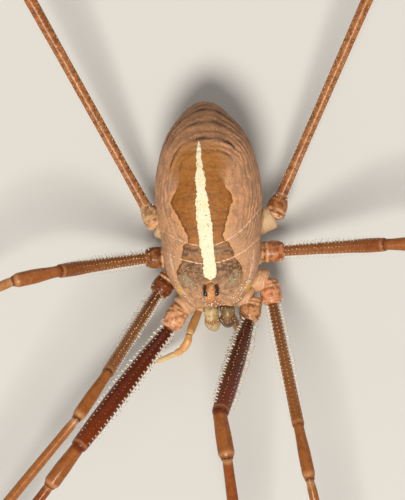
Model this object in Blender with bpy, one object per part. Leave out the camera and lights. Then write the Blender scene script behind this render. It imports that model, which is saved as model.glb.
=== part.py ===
"""A harvestman as a still, life-size model: a fused trunk on eight long walking legs.

The trunk lies along Y with its head towards -Y. Every leg is a chain of six straight pieces that ends in a
whip-like foot lying on the floor. Pieces meet face to face across a small gap.
"""

import math
import random

import bmesh
import bpy
from mathutils import Matrix, Vector

MM = 0.001
GAP = 0.3 * MM

# Driving dimensions of the trunk, in millimetres
TRUNK_FRONT = -4.48
TRUNK_REAR = 4.56
TRUNK_MIDDLE = 0.07
TRUNK_RINGS = 40
TRUNK_SIDES = 32
# One row for each station: place along Y, half width, height of the back, height of the belly, how round
# the under side is, where 1 is a straight keel and 2 is an ellipse, and how far up the widest place lies
TRUNK_STATIONS = (
    (-4.48, 0.86, 3.55, 2.15, 1.4, 0.50),
    (-4.26, 1.09, 3.72, 1.95, 1.4, 0.50),
    (-3.56, 1.63, 4.12, 1.55, 1.4, 0.52),
    (-2.86, 1.93, 4.42, 1.35, 1.3, 0.52),
    (-2.16, 2.11, 4.64, 1.25, 1.3, 0.52),
    (-1.46, 2.15, 4.83, 1.15, 1.25, 0.50),
    (-0.10, 2.28, 5.10, 1.00, 1.2, 0.48),
    (0.60, 2.32, 5.18, 0.96, 1.3, 0.46),
    (1.31, 2.26, 5.14, 1.00, 1.6, 0.44),
    (2.01, 2.11, 5.00, 1.10, 1.9, 0.44),
    (2.71, 1.89, 4.74, 1.30, 2.0, 0.44),
    (3.41, 1.52, 4.34, 1.60, 2.0, 0.44),
    (4.11, 0.82, 3.70, 2.12, 2.0, 0.44),
    (4.46, 0.34, 3.22, 2.58, 2.0, 0.44),
    (4.56, 0.12, 3.02, 2.78, 2.0, 0.44),
)
BACK_ROUNDNESS = 2.15

# Shallow furrows between the plates of the back: place along Y, depth and half width
FURROWS = (
    (-2.62, 0.05, 0.10),
    (2.10, 0.03, 0.12),
    (2.80, 0.04, 0.12),
    (3.35, 0.05, 0.11),
    (3.78, 0.05, 0.09),
    (4.14, 0.04, 0.08),
)

# The cut between the forebody and the abdomen slants down and back
WAIST_TOP = (0.0, -2.10, 4.76)
WAIST_SLOPE = 0.684
# The face under the front rim of the carapace, behind the mouthparts
BROW_TOP = (0.0, -4.50, 3.62)
BROW_SLOPE = 0.31

# Eye mound
MOUND_CENTRE = (-0.06, -3.90, 3.98)
MOUND_HALF = (0.17, 0.40, 0.50)
EYE_OFFSET = (0.26, -0.09, 0.28)
MOUND_RINGS = 10
MOUND_SIDES = 14
EYE_RADIUS = 0.165
EYE_BULGE = 0.11
EYE_LEVELS = 4
EYE_SIDES = 12

# Mouthparts: centreline points, then the radius at each point
CHELICERA_PATHS = {
    "right": ((-0.22, -4.52, 2.78), (-0.20, -4.85, 2.86), (-0.15, -5.10, 2.60), (-0.09, -5.30, 2.10),
              (-0.05, -5.42, 1.75)),
    "left": ((0.62, -4.52, 2.80), (0.69, -4.85, 2.92), (0.73, -5.08, 2.68), (0.68, -5.22, 2.26),
             (0.62, -5.28, 1.98)),
}
CHELICERA_RADII = (0.24, 0.25, 0.28, 0.27, 0.17)
CHELICERA_SIDES = 10
FINGER_LENGTH = 0.42
FINGER_RADIUS = 0.10
FINGER_TIP_RADIUS = 0.03
FINGER_SPREAD = 0.09
FINGER_SINK = 0.12
FINGER_SIDES = 6
# The fingers lean together until this share of their spread is left at the tips
FINGER_CLOSING = 0.3
PALP_PATHS = {
    "right": ((-0.60, -4.54, 1.62), (-0.80, -4.86, 1.86), (-1.09, -5.53, 2.25), (-1.18, -5.84, 2.20),
              (-1.42, -6.15, 1.98), (-1.70, -6.28, 1.75), (-2.55, -6.52, 1.15)),
    "left": ((0.64, -4.54, 1.52), (0.86, -4.88, 1.46), (1.10, -5.36, 1.42), (1.14, -5.64, 1.40),
             (1.12, -5.98, 1.34), (1.04, -6.32, 1.24), (0.74, -7.20, 0.90)),
}
PALP_RADII = (0.25, 0.25, 0.26, 0.26, 0.26, 0.25, 0.12)
PALP_ROOT = (0.35, -3.70, 1.80)
PALP_ROOT_RADIUS = 0.30
PALP_SIDES = 8
PALP_ROOT_SIDES = 10

# Legs: the span of each piece between its two joints
LEG_SPANS = {
    1: {"femur": 7.0, "patella": 2.05, "tibia": 5.2, "metatarsus": 6.6, "tarsus": 9.0},
    2: {"femur": 7.0, "patella": 2.4, "tibia": 8.6, "metatarsus": 10.4, "tarsus": 18.0},
    3: {"femur": 5.5, "patella": 2.05, "tibia": 5.2, "metatarsus": 7.6, "tarsus": 9.5},
    4: {"femur": 11.8, "patella": 2.4, "tibia": 7.8, "metatarsus": 11.5, "tarsus": 13.0},
}
# Radii along each piece, from its near end to its far end
LEG_RADII = {
    1: {"femur": (0.26, 0.36, 0.41, 0.41, 0.36), "patella": (0.33, 0.37, 0.31), "tibia": (0.27, 0.28, 0.27),
        "metatarsus": (0.26, 0.25, 0.25)},
    2: {"femur": (0.25, 0.25, 0.26, 0.26, 0.26), "patella": (0.26, 0.29, 0.26), "tibia": (0.25, 0.26, 0.25),
        "metatarsus": (0.25, 0.25, 0.25)},
    3: {"femur": (0.25, 0.25, 0.27, 0.31, 0.30), "patella": (0.29, 0.34, 0.29), "tibia": (0.26, 0.27, 0.26),
        "metatarsus": (0.25, 0.25, 0.25)},
    4: {"femur": (0.27, 0.25, 0.25, 0.27, 0.27), "patella": (0.27, 0.30, 0.27), "tibia": (0.25, 0.26, 0.25),
        "metatarsus": (0.25, 0.25, 0.25)},
}
TARSUS_RADII = (0.25, 0.25, 0.25, 0.25, 0.22, 0.10)
TARSUS_STEPS = 12
# How late the foot turns: 1 is an even bend, and a higher number bends it towards its tip
TARSUS_BEND = 1.5
LEG_SIDES = {"trochanter": 8, "femur": 12, "patella": 8, "tibia": 6, "metatarsus": 6, "tarsus": 6}
TROCHANTER_SPAN = 0.95
TROCHANTER_RADII = (0.31, 0.39, 0.41, 0.35)
COXA_RADII = (0.55, 0.46, 0.35)
COXA_SIDES = 12
# Where each coxa starts inside the trunk, out from the midline
COXA_ROOTS = {1: (0.55, -3.10, 2.10), 2: (0.75, -2.60, 2.00), 3: (0.85, -2.10, 1.95), 4: (0.95, -1.55, 1.90)}

# Pose: where the femur starts, the heading of its root, then heading and pitch of each piece in degrees.
# Heading 0 points along +X and 90 along +Y. The metatarsus finds its own pitch from the ankle's height
# over the floor, and the tarsus turns by the last angle on its way to its tip.
POSE = {
    "leg_1_right": {"base": (-1.91, -5.14, 2.10), "root": -122, "femur": (-129, 17), "patella": (-130, -8),
                    "tibia": (-131, -12), "metatarsus": -134, "ankle": 0.9, "turn": 22},
    "leg_1_left": {"base": (1.54, -5.03, 2.15), "root": -102, "femur": (-109, 48), "patella": (-84, 16),
                   "tibia": (-85, -32), "metatarsus": -81, "ankle": 1.6, "turn": -24},
    "leg_2_right": {"base": (-2.37, -3.64, 2.10), "root": -129, "femur": (-120, 50), "patella": (-126, 14),
                    "tibia": (-134, -20), "metatarsus": -137, "ankle": 1.7, "turn": 20},
    "leg_2_left": {"base": (2.62, -4.32, 2.10), "root": -82, "femur": (-83, 34), "patella": (-82, 14),
                   "tibia": (-79, -14), "metatarsus": -71, "ankle": 1.7, "turn": 26},
    "leg_3_right": {"base": (-2.78, -2.06, 2.05), "root": 180, "femur": (-167, 46), "patella": (-169, 12),
                    "tibia": (-163, -26), "metatarsus": -165, "ankle": 1.2, "turn": 24},
    "leg_3_left": {"base": (3.20, -2.06, 2.05), "root": 0, "femur": (-5, 38), "patella": (-3, 6),
                   "tibia": (0, -24), "metatarsus": 5, "ankle": 1.1, "turn": -28},
    "leg_4_right": {"base": (-2.70, 0.22, 1.95), "root": 120, "femur": (117, 19), "patella": (119, 4),
                    "tibia": (124, -13), "metatarsus": 130, "ankle": 1.2, "turn": 22},
    "leg_4_left": {"base": (3.26, 0.40, 2.00), "root": 67, "femur": (62.6, 19), "patella": (60, 4),
                   "tibia": (58, -13), "metatarsus": 52, "ankle": 1.2, "turn": -22},
}

# Denticles: short spines in rows along the femora, for each pair of legs how many rows run round the femur,
# how many spines stand in a row, and their length and root radius
FEMUR_SPINES = {
    1: {"rows": 6, "in_row": 13, "length": 0.16, "root": 0.060},
    2: {"rows": 6, "in_row": 11, "length": 0.13, "root": 0.055},
    3: {"rows": 6, "in_row": 10, "length": 0.13, "root": 0.055},
    4: {"rows": 6, "in_row": 11, "length": 0.09, "root": 0.050},
}
SPINE_SIDES = 4
SPINE_SINK = 0.05
SPINE_LEAN = 0.35
# The stretch of a femur that carries spines, as shares of its length, and how much shorter the last ones are
SPINE_STRETCH = (0.13, 0.92)
SPINE_FADE = 0.35
# How far a spine may stand off its even place in the row, in steps, and how much their lengths vary
SPINE_JITTER = 0.12
SPINE_SIZES = (0.85, 1.10)
# Denticles on the front rim of the carapace, in rows across it: place along Y, half width of the row and count
RIM_ROWS = ((-4.38, 0.26, 5), (-4.20, 0.20, 4), (-4.33, 0.78, 2), (-4.10, 1.15, 2))
RIM_SPINE = {"length": 0.12, "root": 0.055}
# The way the rim's denticles point: outwards for each millimetre off the midline, along Y, and up
RIM_LEAN = (0.3, -0.45, 0.9)
# Denticles on the eye mound, in two rows: half the space between the rows, places along Y
MOUND_ROWS = (0.075, (-4.14, -4.00, -3.86, -3.72))
MOUND_SPINE = {"length": 0.09, "root": 0.045}

SKIN_TAN = (0.42, 0.20, 0.11, 1.0)
ABDOMEN_BROWN = (0.36, 0.17, 0.08, 1.0)
LEG_BROWNS = {1: (0.16, 0.028, 0.010, 1.0), 2: (0.26, 0.065, 0.020, 1.0), 3: (0.24, 0.055, 0.018, 1.0),
              4: (0.34, 0.11, 0.035, 1.0)}
SHIN_ORANGE = (0.42, 0.15, 0.05, 1.0)
ROOT_PINK = (0.46, 0.18, 0.10, 1.0)
PALE_HORN = (0.75, 0.50, 0.24, 1.0)
EYE_BLACK = (0.006, 0.005, 0.005, 1.0)


def clear_scene():
    for old in list(bpy.data.objects):
        bpy.data.objects.remove(old)


def material(name, colour, roughness):
    made = bpy.data.materials.new(name)
    made.use_nodes = True
    shader = made.node_tree.nodes["Principled BSDF"]
    shader.inputs["Base Color"].default_value = colour
    shader.inputs["Roughness"].default_value = roughness
    shader.inputs["Metallic"].default_value = 0.0
    return made


def direction(heading, pitch):
    h = math.radians(heading)
    p = math.radians(pitch)
    return Vector((math.cos(p) * math.cos(h), math.cos(p) * math.sin(h), math.sin(p)))


def cross_axes(along):
    """Two axes across a piece: one level sideways, one as near to straight up as the piece allows."""
    side = along.cross(Vector((0.0, 0.0, 1.0))).normalized()
    return side, side.cross(along).normalized()


def ring(centre, along, radius, sides):
    """A ring of points across a piece, with one flat turned straight down."""
    side, up = cross_axes(along)
    points = []
    for i in range(sides):
        angle = 2.0 * math.pi * (i + 0.5) / sides - 0.5 * math.pi
        points.append(centre + radius * (math.cos(angle) * side + math.sin(angle) * up))
    return points


def slide_onto_plane(points, along, plane_point, plane_normal):
    """Moves each point along a piece until it lies on a plane, which cuts the piece's end."""
    slope = along.dot(plane_normal)
    return [p + along * ((plane_point - p).dot(plane_normal) / slope) for p in points]


def loft(rings):
    """A closed surface through rings of points, which have the same count, with a flat cap at both ends."""
    bm = bmesh.new()
    rows = [[bm.verts.new(p) for p in points] for points in rings]
    count = len(rings[0])
    for near, far in zip(rows, rows[1:]):
        for i in range(count):
            j = (i + 1) % count
            bm.faces.new((near[i], near[j], far[j], far[i]))
    bm.faces.new(list(reversed(rows[0])))
    bm.faces.new(rows[-1])
    bmesh.ops.recalc_face_normals(bm, faces=bm.faces)
    return bm


def make_object(name, bm, finish, parent=None):
    """Turns a mesh in millimetres into a named object in metres."""
    bmesh.ops.triangulate(bm, faces=bm.faces)
    bm.transform(Matrix.Scale(MM, 4))
    mesh = bpy.data.meshes.new(name)
    bm.to_mesh(mesh)
    bm.free()
    mesh.materials.append(finish)
    mesh.shade_smooth()
    mesh.set_sharp_from_angle(angle=math.radians(40))
    made = bpy.data.objects.new(name, mesh)
    bpy.context.scene.collection.objects.link(made)
    made.parent = parent
    return made


def keep_largest(bm):
    """Leaves only the closed surface that has the most faces."""
    bm.faces.ensure_lookup_table()
    unseen = set(bm.faces)
    groups = []
    while unseen:
        start = unseen.pop()
        group = {start}
        stack = [start]
        while stack:
            face = stack.pop()
            for edge in face.edges:
                for other in edge.link_faces:
                    if other in unseen:
                        unseen.remove(other)
                        group.add(other)
                        stack.append(other)
        groups.append(group)
    largest = max(groups, key=len)
    loose = [face for group in groups if group is not largest for face in group]
    bmesh.ops.delete(bm, geom=loose, context="FACES")


def fuse(core, helpers):
    """Joins helper objects to a core object with one Boolean union, then removes the helpers."""
    group = bpy.data.collections.new(core.name + "_pieces")
    bpy.context.scene.collection.children.link(group)
    for helper in helpers:
        bpy.context.scene.collection.objects.unlink(helper)
        group.objects.link(helper)
    union = core.modifiers.new("union", "BOOLEAN")
    union.operation = "UNION"
    union.operand_type = "COLLECTION"
    union.collection = group
    union.solver = "EXACT"
    bpy.context.view_layer.update()
    fused = bpy.data.meshes.new_from_object(core.evaluated_get(bpy.context.evaluated_depsgraph_get()))
    core.modifiers.clear()
    bm = bmesh.new()
    bm.from_mesh(fused)
    keep_largest(bm)
    bmesh.ops.triangulate(bm, faces=bm.faces)
    bm.to_mesh(fused)
    bm.free()
    core.data = fused
    for helper in helpers:
        bpy.data.objects.remove(helper)
    bpy.data.collections.remove(group)


def trunk_value(y, column):
    """One column of the trunk's stations, read at a place along Y by a smooth curve through the stations."""
    rows = TRUNK_STATIONS
    last = len(rows) - 1
    i = 0
    while i < last - 1 and y > rows[i + 1][0]:
        i += 1
    before, start, end, after = rows[max(i - 1, 0)], rows[i], rows[i + 1], rows[min(i + 2, last)]
    span = end[0] - start[0]
    t = min(1.0, max(0.0, (y - start[0]) / span))
    start_slope = (end[column] - before[column]) / (end[0] - before[0]) * span
    end_slope = (after[column] - start[column]) / (after[0] - start[0]) * span
    t2 = t * t
    t3 = t2 * t
    return ((2 * t3 - 3 * t2 + 1) * start[column] + (t3 - 2 * t2 + t) * start_slope
            + (3 * t2 - 2 * t3) * end[column] + (t3 - t2) * end_slope)


def furrow_depth(y):
    return sum(depth * math.exp(-((y - place) / width) ** 2) for place, depth, width in FURROWS)


def trunk_ring(y):
    """The trunk's outline at one place along Y."""
    half_width, back, belly, under, share = (trunk_value(y, column) for column in (1, 2, 3, 4, 5))
    depth = furrow_depth(y)
    middle = belly + share * (back - belly)
    points = []
    for i in range(TRUNK_SIDES):
        angle = 2.0 * math.pi * i / TRUNK_SIDES
        across, rise = math.cos(angle), math.sin(angle)
        roundness = BACK_ROUNDNESS if rise >= 0.0 else under
        reach = back - depth - middle if rise >= 0.0 else middle - belly
        x = TRUNK_MIDDLE + (half_width - depth) * math.copysign(abs(across) ** (2.0 / roundness), across)
        z = middle + reach * math.copysign(abs(rise) ** (2.0 / roundness), rise)
        points.append(Vector((x, y, z)))
    return points


def trunk_shell():
    """The whole trunk before its cuts. The rings stand closer together towards both ends."""
    middle = 0.5 * (TRUNK_FRONT + TRUNK_REAR)
    half = 0.5 * (TRUNK_REAR - TRUNK_FRONT)
    turns = [math.pi * i / (TRUNK_RINGS - 1) for i in range(TRUNK_RINGS)]
    evenly = [-1.0 + 2.0 * i / (TRUNK_RINGS - 1) for i in range(TRUNK_RINGS)]
    places = [middle + half * 0.5 * (even - math.cos(turn)) for even, turn in zip(evenly, turns)]
    return loft([trunk_ring(y) for y in places])


def cut_away(bm, plane_point, plane_normal):
    """Cuts off all that lies on the side the normal points to, and closes the cut with a flat face."""
    geometry = list(bm.verts) + list(bm.edges) + list(bm.faces)
    bmesh.ops.bisect_plane(bm, geom=geometry, plane_co=plane_point, plane_no=plane_normal, clear_outer=True)
    rim = [edge for edge in bm.edges if edge.is_boundary]
    bmesh.ops.holes_fill(bm, edges=rim)
    bmesh.ops.recalc_face_normals(bm, faces=bm.faces)


def half_gap(normal):
    return normal * (0.5 * GAP / MM)


def tube(points, radii, sides, start_normal=None):
    """A bent round piece along a centreline, with rings square to the bend at each point."""
    points = [Vector(p) for p in points]
    steps = [(b - a).normalized() for a, b in zip(points, points[1:])]
    rings = []
    for i, (point, radius) in enumerate(zip(points, radii)):
        along = steps[0] if i == 0 else steps[-1] if i == len(steps) else (steps[i - 1] + steps[i]).normalized()
        rings.append(ring(point, along, radius, sides))
    if start_normal is not None:
        rings[0] = slide_onto_plane(rings[0], steps[0], points[0], start_normal)
    return loft(rings)


def spine(place, out, lean, size, finish):
    """A pointed spine with its root sunk in a surface: it stands along the out direction and leans a little."""
    root = place - out * SPINE_SINK
    tip = place + (out + lean).normalized() * size["length"]
    bm = bmesh.new()
    base = [bm.verts.new(p) for p in ring(root, (tip - root).normalized(), size["root"], SPINE_SIDES)]
    point = bm.verts.new(tip)
    for a, b in zip(base, base[1:] + base[:1]):
        bm.faces.new((a, b, point))
    bm.faces.new(list(reversed(base)))
    bmesh.ops.recalc_face_normals(bm, faces=bm.faces)
    return make_object("spine", bm, finish)


def ellipsoid(centre, half, rings, sides):
    bm = bmesh.new()
    bmesh.ops.create_uvsphere(bm, u_segments=sides, v_segments=rings, radius=1.0)
    bmesh.ops.transform(bm, matrix=Matrix.Translation(centre) @ Matrix.Diagonal((*half, 1.0)), verts=bm.verts)
    return bm


def mirrored(point, side):
    x, y, z = point
    return Vector((x if side == "left" else -x, y, z))


def straight_piece(near, far, near_normal, far_normal, radii, sides):
    """A leg piece between two joints. Each end is cut along its joint's plane, half a gap short of it."""
    along = (far - near).normalized()
    last = len(radii) - 1
    rings = [ring(near + (far - near) * (i / last), along, radius, sides) for i, radius in enumerate(radii)]
    rings[0] = slide_onto_plane(rings[0], along, near + half_gap(near_normal), near_normal)
    rings[-1] = slide_onto_plane(rings[-1], along, far - half_gap(far_normal), far_normal)
    return loft(rings)


def tarsus_piece(ankle, heading, pitch, length, turn, ankle_normal):
    """The foot: it comes down from the ankle in a smooth arc, and the rest lies flat on the floor."""
    sides = LEG_SIDES["tarsus"]
    flat_share = math.cos(math.pi / sides)
    drop = ankle.z - TARSUS_RADII[0] * flat_share
    landing = 2.0 * drop / math.sin(math.radians(-pitch))
    step = length / TARSUS_STEPS
    x, y = ankle.x, ankle.y
    rings = []
    height_before = drop
    for i in range(TARSUS_STEPS + 1):
        share = i / TARSUS_STEPS
        left = max(0.0, 1.0 - share * length / landing)
        height = drop * left * left
        bearing = math.radians(heading + turn * share ** TARSUS_BEND)
        if i > 0:
            forward = math.sqrt(step * step - (height_before - height) ** 2)
            x += forward * math.cos(bearing)
            y += forward * math.sin(bearing)
        height_before = height
        place = share * (len(TARSUS_RADII) - 1)
        near = min(int(place), len(TARSUS_RADII) - 2)
        radius = TARSUS_RADII[near] + (place - near) * (TARSUS_RADII[near + 1] - TARSUS_RADII[near])
        slope = math.degrees(math.asin(math.sin(math.radians(pitch)) * left))
        centre = Vector((x, y, height + radius * flat_share))
        rings.append(ring(centre, direction(math.degrees(bearing), slope), radius, sides))
    along = direction(heading, pitch)
    rings[0] = slide_onto_plane(rings[0], along, ankle + half_gap(ankle_normal), ankle_normal)
    return loft(rings)


def leg_joints(name):
    """The joints of one leg from the coxa to the ankle, and the direction of each piece between them."""
    pose = POSE[name]
    spans = LEG_SPANS[int(name.split("_")[1])]
    base = Vector(pose["base"])
    root_way = direction(pose["root"], 0.0)
    joints = [base - root_way * TROCHANTER_SPAN, base]
    ways = [root_way]
    for piece in ("femur", "patella", "tibia"):
        way = direction(*pose[piece])
        ways.append(way)
        joints.append(joints[-1] + way * spans[piece])
    fall = joints[-1].z - pose["ankle"]
    pitch = -math.degrees(math.asin(fall / spans["metatarsus"]))
    ways.append(direction(pose["metatarsus"], pitch))
    joints.append(joints[-1] + ways[-1] * spans["metatarsus"])
    return joints, ways, pitch


def coxa_way(name):
    """The direction in which a coxa leaves the trunk, and its root inside the trunk."""
    number = int(name.split("_")[1])
    root = mirrored(COXA_ROOTS[number], name.split("_")[2])
    joints, _, _ = leg_joints(name)
    return root, (joints[0] - root).normalized()


def joint_normals(name):
    """The plane of each joint stands square to the bend between the two pieces that meet there."""
    _, ways, _ = leg_joints(name)
    before = [coxa_way(name)[1]] + ways
    after = ways + [ways[-1]]
    return [(a + b).normalized() for a, b in zip(before, after)]


def femur_spines(name, near, far, finish):
    """The rows of spines round one femur. Every second row starts half a step later."""
    number = int(name.split("_")[1])
    layout = FEMUR_SPINES[number]
    radii = LEG_RADII[number]["femur"]
    along = (far - near).normalized()
    side, up = cross_axes(along)
    flat_share = math.cos(math.pi / LEG_SIDES["femur"])
    draw = random.Random(name)
    first, last = SPINE_STRETCH
    spines = []
    for row in range(layout["rows"]):
        angle = 2.0 * math.pi * row / layout["rows"]
        out = math.cos(angle) * side + math.sin(angle) * up
        for i in range(layout["in_row"]):
            step = i + (0.25 if row % 2 == 0 else 0.75) + draw.uniform(-SPINE_JITTER, SPINE_JITTER)
            share = first + (last - first) * step / layout["in_row"]
            place = share * (len(radii) - 1)
            ring_before = int(place)
            radius = radii[ring_before] + (place - ring_before) * (radii[ring_before + 1] - radii[ring_before])
            on_face = near.lerp(far, share) + out * (radius * flat_share)
            length = layout["length"] * (1.0 - SPINE_FADE * share) * draw.uniform(*SPINE_SIZES)
            size = {"length": length, "root": layout["root"]}
            spines.append(spine(on_face, out, SPINE_LEAN * along, size, finish))
    return spines


def build_leg(name, finishes, parent):
    number = int(name.split("_")[1])
    joints, ways, pitch = leg_joints(name)
    normals = joint_normals(name)
    radii = dict(LEG_RADII[number], trochanter=TROCHANTER_RADII)
    pieces = ("trochanter", "femur", "patella", "tibia", "metatarsus")
    for i, piece in enumerate(pieces):
        near, far = joints[i], joints[i + 1]
        bm = straight_piece(near, far, normals[i], normals[i + 1], radii[piece], LEG_SIDES[piece])
        made = make_object(f"{name}_{piece}", bm, finishes[piece, number], parent)
        if piece == "femur":
            fuse(made, femur_spines(name, near, far, finishes[piece, number]))
    pose = POSE[name]
    span = LEG_SPANS[number]["tarsus"]
    foot = tarsus_piece(joints[-1], pose["metatarsus"], pitch, span, pose["turn"], normals[-1])
    make_object(f"{name}_tarsus", foot, finishes["tarsus", number], parent)


def coxa_pieces(finish):
    """The eight coxae, each a short cone from inside the trunk to the face of its first joint."""
    pieces = []
    for name in POSE:
        root, way = coxa_way(name)
        joints, _, _ = leg_joints(name)
        normal = joint_normals(name)[0]
        last = len(COXA_RADII) - 1
        rings = [ring(root.lerp(joints[0], i / last), way, r, COXA_SIDES) for i, r in enumerate(COXA_RADII)]
        rings[-1] = slide_onto_plane(rings[-1], way, joints[0] - half_gap(normal), normal)
        pieces.append(make_object(name + "_coxa", loft(rings), finish))
    return pieces


def waist_normal():
    return Vector((0.0, 1.0, WAIST_SLOPE)).normalized()


def brow_normal():
    return Vector((0.0, -1.0, -BROW_SLOPE)).normalized()


def back_height(x, y):
    """The height of the trunk's back at a place."""
    half_width, back, belly, share = (trunk_value(y, column) for column in (1, 2, 3, 5))
    depth = furrow_depth(y)
    middle = belly + share * (back - belly)
    across = min(1.0, abs(x - TRUNK_MIDDLE) / (half_width - depth)) ** (0.5 * BACK_ROUNDNESS)
    return middle + (back - depth - middle) * (1.0 - across * across) ** (1.0 / BACK_ROUNDNESS)


def carapace_spines(finish):
    """The denticles on the front rim of the carapace and on the eye mound."""
    spines = []
    for y, half_row, count in RIM_ROWS:
        for i in range(count):
            x = TRUNK_MIDDLE + half_row * (2.0 * i / (count - 1) - 1.0)
            out = Vector((RIM_LEAN[0] * (x - TRUNK_MIDDLE), RIM_LEAN[1], RIM_LEAN[2])).normalized()
            spines.append(spine(Vector((x, y, back_height(x, y))), out, Vector(), RIM_SPINE, finish))
    offset, places = MOUND_ROWS
    middle = Vector(MOUND_CENTRE)
    for sign in (-1.0, 1.0):
        for y in places:
            across = sign * offset / MOUND_HALF[0]
            along = (y - middle.y) / MOUND_HALF[1]
            top = middle.z + MOUND_HALF[2] * math.sqrt(1.0 - across * across - along * along)
            place = Vector((middle.x + sign * offset, y, top))
            rise = (top - middle.z) / MOUND_HALF[2]
            out = Vector((across / MOUND_HALF[0], along / MOUND_HALF[1], rise / MOUND_HALF[2]))
            spines.append(spine(place, out.normalized(), Vector(), MOUND_SPINE, finish))
    return spines


def build_prosoma(finish, parent):
    """The forebody: the carapace with the eye mound, and under it the eight coxae and the roots of the palps."""
    bm = trunk_shell()
    cut_away(bm, Vector(WAIST_TOP) - half_gap(waist_normal()), waist_normal())
    cut_away(bm, Vector(BROW_TOP), brow_normal())
    prosoma = make_object("prosoma", bm, finish, parent)
    helpers = coxa_pieces(finish)
    helpers.append(make_object("mound", ellipsoid(MOUND_CENTRE, MOUND_HALF, MOUND_RINGS, MOUND_SIDES), finish))
    for side, path in PALP_PATHS.items():
        start = Vector(path[0])
        way = (Vector(path[1]) - start).normalized()
        root = mirrored(PALP_ROOT, side)
        rings = [ring(point, way, PALP_ROOT_RADIUS, PALP_ROOT_SIDES) for point in (root, start)]
        rings[-1] = slide_onto_plane(rings[-1], way, start - way * (GAP / MM), way)
        helpers.append(make_object("palp_root_" + side, loft(rings), finish))
    fuse(prosoma, helpers + carapace_spines(finish))


def build_abdomen(finish, parent):
    bm = trunk_shell()
    cut_away(bm, Vector(WAIST_TOP) + half_gap(waist_normal()), -waist_normal())
    make_object("abdomen", bm, finish, parent)


def build_eye(side, finish, parent):
    """One lens: a low dome with a flat back against the eye mound."""
    out = mirrored((1.0, 0.0, 0.0), side)
    centre = Vector(MOUND_CENTRE) + mirrored(EYE_OFFSET, side)
    rings = []
    for i in range(EYE_LEVELS):
        turn = 0.5 * math.pi * i / EYE_LEVELS
        middle = centre + out * (EYE_BULGE * math.sin(turn))
        rings.append(ring(middle, out, EYE_RADIUS * math.cos(turn), EYE_SIDES))
    make_object("eye_" + side, loft(rings), finish, parent)


def build_chelicera(side, finish, parent):
    """A pincer: the arm and the hand in one bent piece, with two short fingers fused to its end."""
    path = CHELICERA_PATHS[side]
    arm = tube(path, CHELICERA_RADII, CHELICERA_SIDES, brow_normal())
    hand = make_object("chelicera_" + side, arm, finish, parent)
    end = Vector(path[-1])
    down = (end - Vector(path[-2])).normalized()
    fingers = []
    for sign in (-1.0, 1.0):
        apart = Vector((sign * FINGER_SPREAD, 0.0, 0.0))
        root = end - down * FINGER_SINK + apart
        tip = end + down * FINGER_LENGTH + FINGER_CLOSING * apart
        shape = tube((root, tip), (FINGER_RADIUS, FINGER_TIP_RADIUS), FINGER_SIDES)
        fingers.append(make_object("finger", shape, finish))
    fuse(hand, fingers)


def build_palp(side, finish, parent):
    make_object("pedipalp_" + side, tube(PALP_PATHS[side], PALP_RADII, PALP_SIDES), finish, parent)


def leg_finishes():
    finishes = {}
    for number in LEG_SPANS:
        colours = {"trochanter": ROOT_PINK, "femur": LEG_BROWNS[number], "patella": LEG_BROWNS[number],
                   "tibia": SHIN_ORANGE, "metatarsus": SHIN_ORANGE, "tarsus": SHIN_ORANGE}
        for piece, colour in colours.items():
            finishes[piece, number] = material(f"leg_{number}_{piece}", colour, 0.35)
    return finishes


def centre_on_floor(base):
    """Moves the whole model so that its origin is on the floor, under the middle of its box."""
    bpy.context.view_layer.update()
    corners = [child.matrix_world @ Vector(c) for child in base.children for c in child.bound_box]
    xs = [c.x for c in corners]
    ys = [c.y for c in corners]
    base.location = (-0.5 * (min(xs) + max(xs)), -0.5 * (min(ys) + max(ys)), 0.0)


def build():
    clear_scene()
    base = bpy.data.objects.new("harvestman", None)
    bpy.context.scene.collection.objects.link(base)
    build_prosoma(material("carapace", SKIN_TAN, 0.55), base)
    build_abdomen(material("abdomen", ABDOMEN_BROWN, 0.55), base)
    horn = material("mouthparts", PALE_HORN, 0.4)
    lens = material("eyes", EYE_BLACK, 0.08)
    for side in ("right", "left"):
        build_eye(side, lens, base)
        build_chelicera(side, horn, base)
        build_palp(side, horn, base)
    finishes = leg_finishes()
    for name in POSE:
        build_leg(name, finishes, base)
    centre_on_floor(base)


build()
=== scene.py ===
import math
import random

import bmesh
import bpy
import numpy as np
from mathutils import Matrix, Vector, noise
from mathutils.bvhtree import BVHTree


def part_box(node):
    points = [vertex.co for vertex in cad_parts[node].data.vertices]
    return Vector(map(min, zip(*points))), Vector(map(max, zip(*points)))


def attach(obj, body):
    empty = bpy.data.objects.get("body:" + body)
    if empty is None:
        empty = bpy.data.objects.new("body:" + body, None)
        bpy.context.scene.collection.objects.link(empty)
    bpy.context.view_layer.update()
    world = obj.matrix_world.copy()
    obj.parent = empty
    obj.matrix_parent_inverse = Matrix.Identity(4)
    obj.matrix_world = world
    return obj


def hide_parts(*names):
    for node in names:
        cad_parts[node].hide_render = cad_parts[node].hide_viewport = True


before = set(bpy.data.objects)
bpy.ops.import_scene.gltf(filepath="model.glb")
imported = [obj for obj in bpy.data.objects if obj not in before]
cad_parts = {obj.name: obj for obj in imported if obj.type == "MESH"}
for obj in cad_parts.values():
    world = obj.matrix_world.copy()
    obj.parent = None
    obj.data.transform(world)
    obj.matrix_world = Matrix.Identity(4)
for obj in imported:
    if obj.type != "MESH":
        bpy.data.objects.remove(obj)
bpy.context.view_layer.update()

# The trunk skin is one tough, leathery shell over the forebody, the abdomen and the eight coxae. It is lofted
# from the same stations as the solids, fused with the coxae and the eye mound into one closed surface, and then
# pressed into its furrows, folds and wrinkles.
MM = 0.001
TRUNK_MIDDLE = 0.07
MOUND_CENTRE = Vector((-0.06, -3.90, 3.98))
MOUND_HALF = Vector((0.29, 0.38, 0.47))
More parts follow.
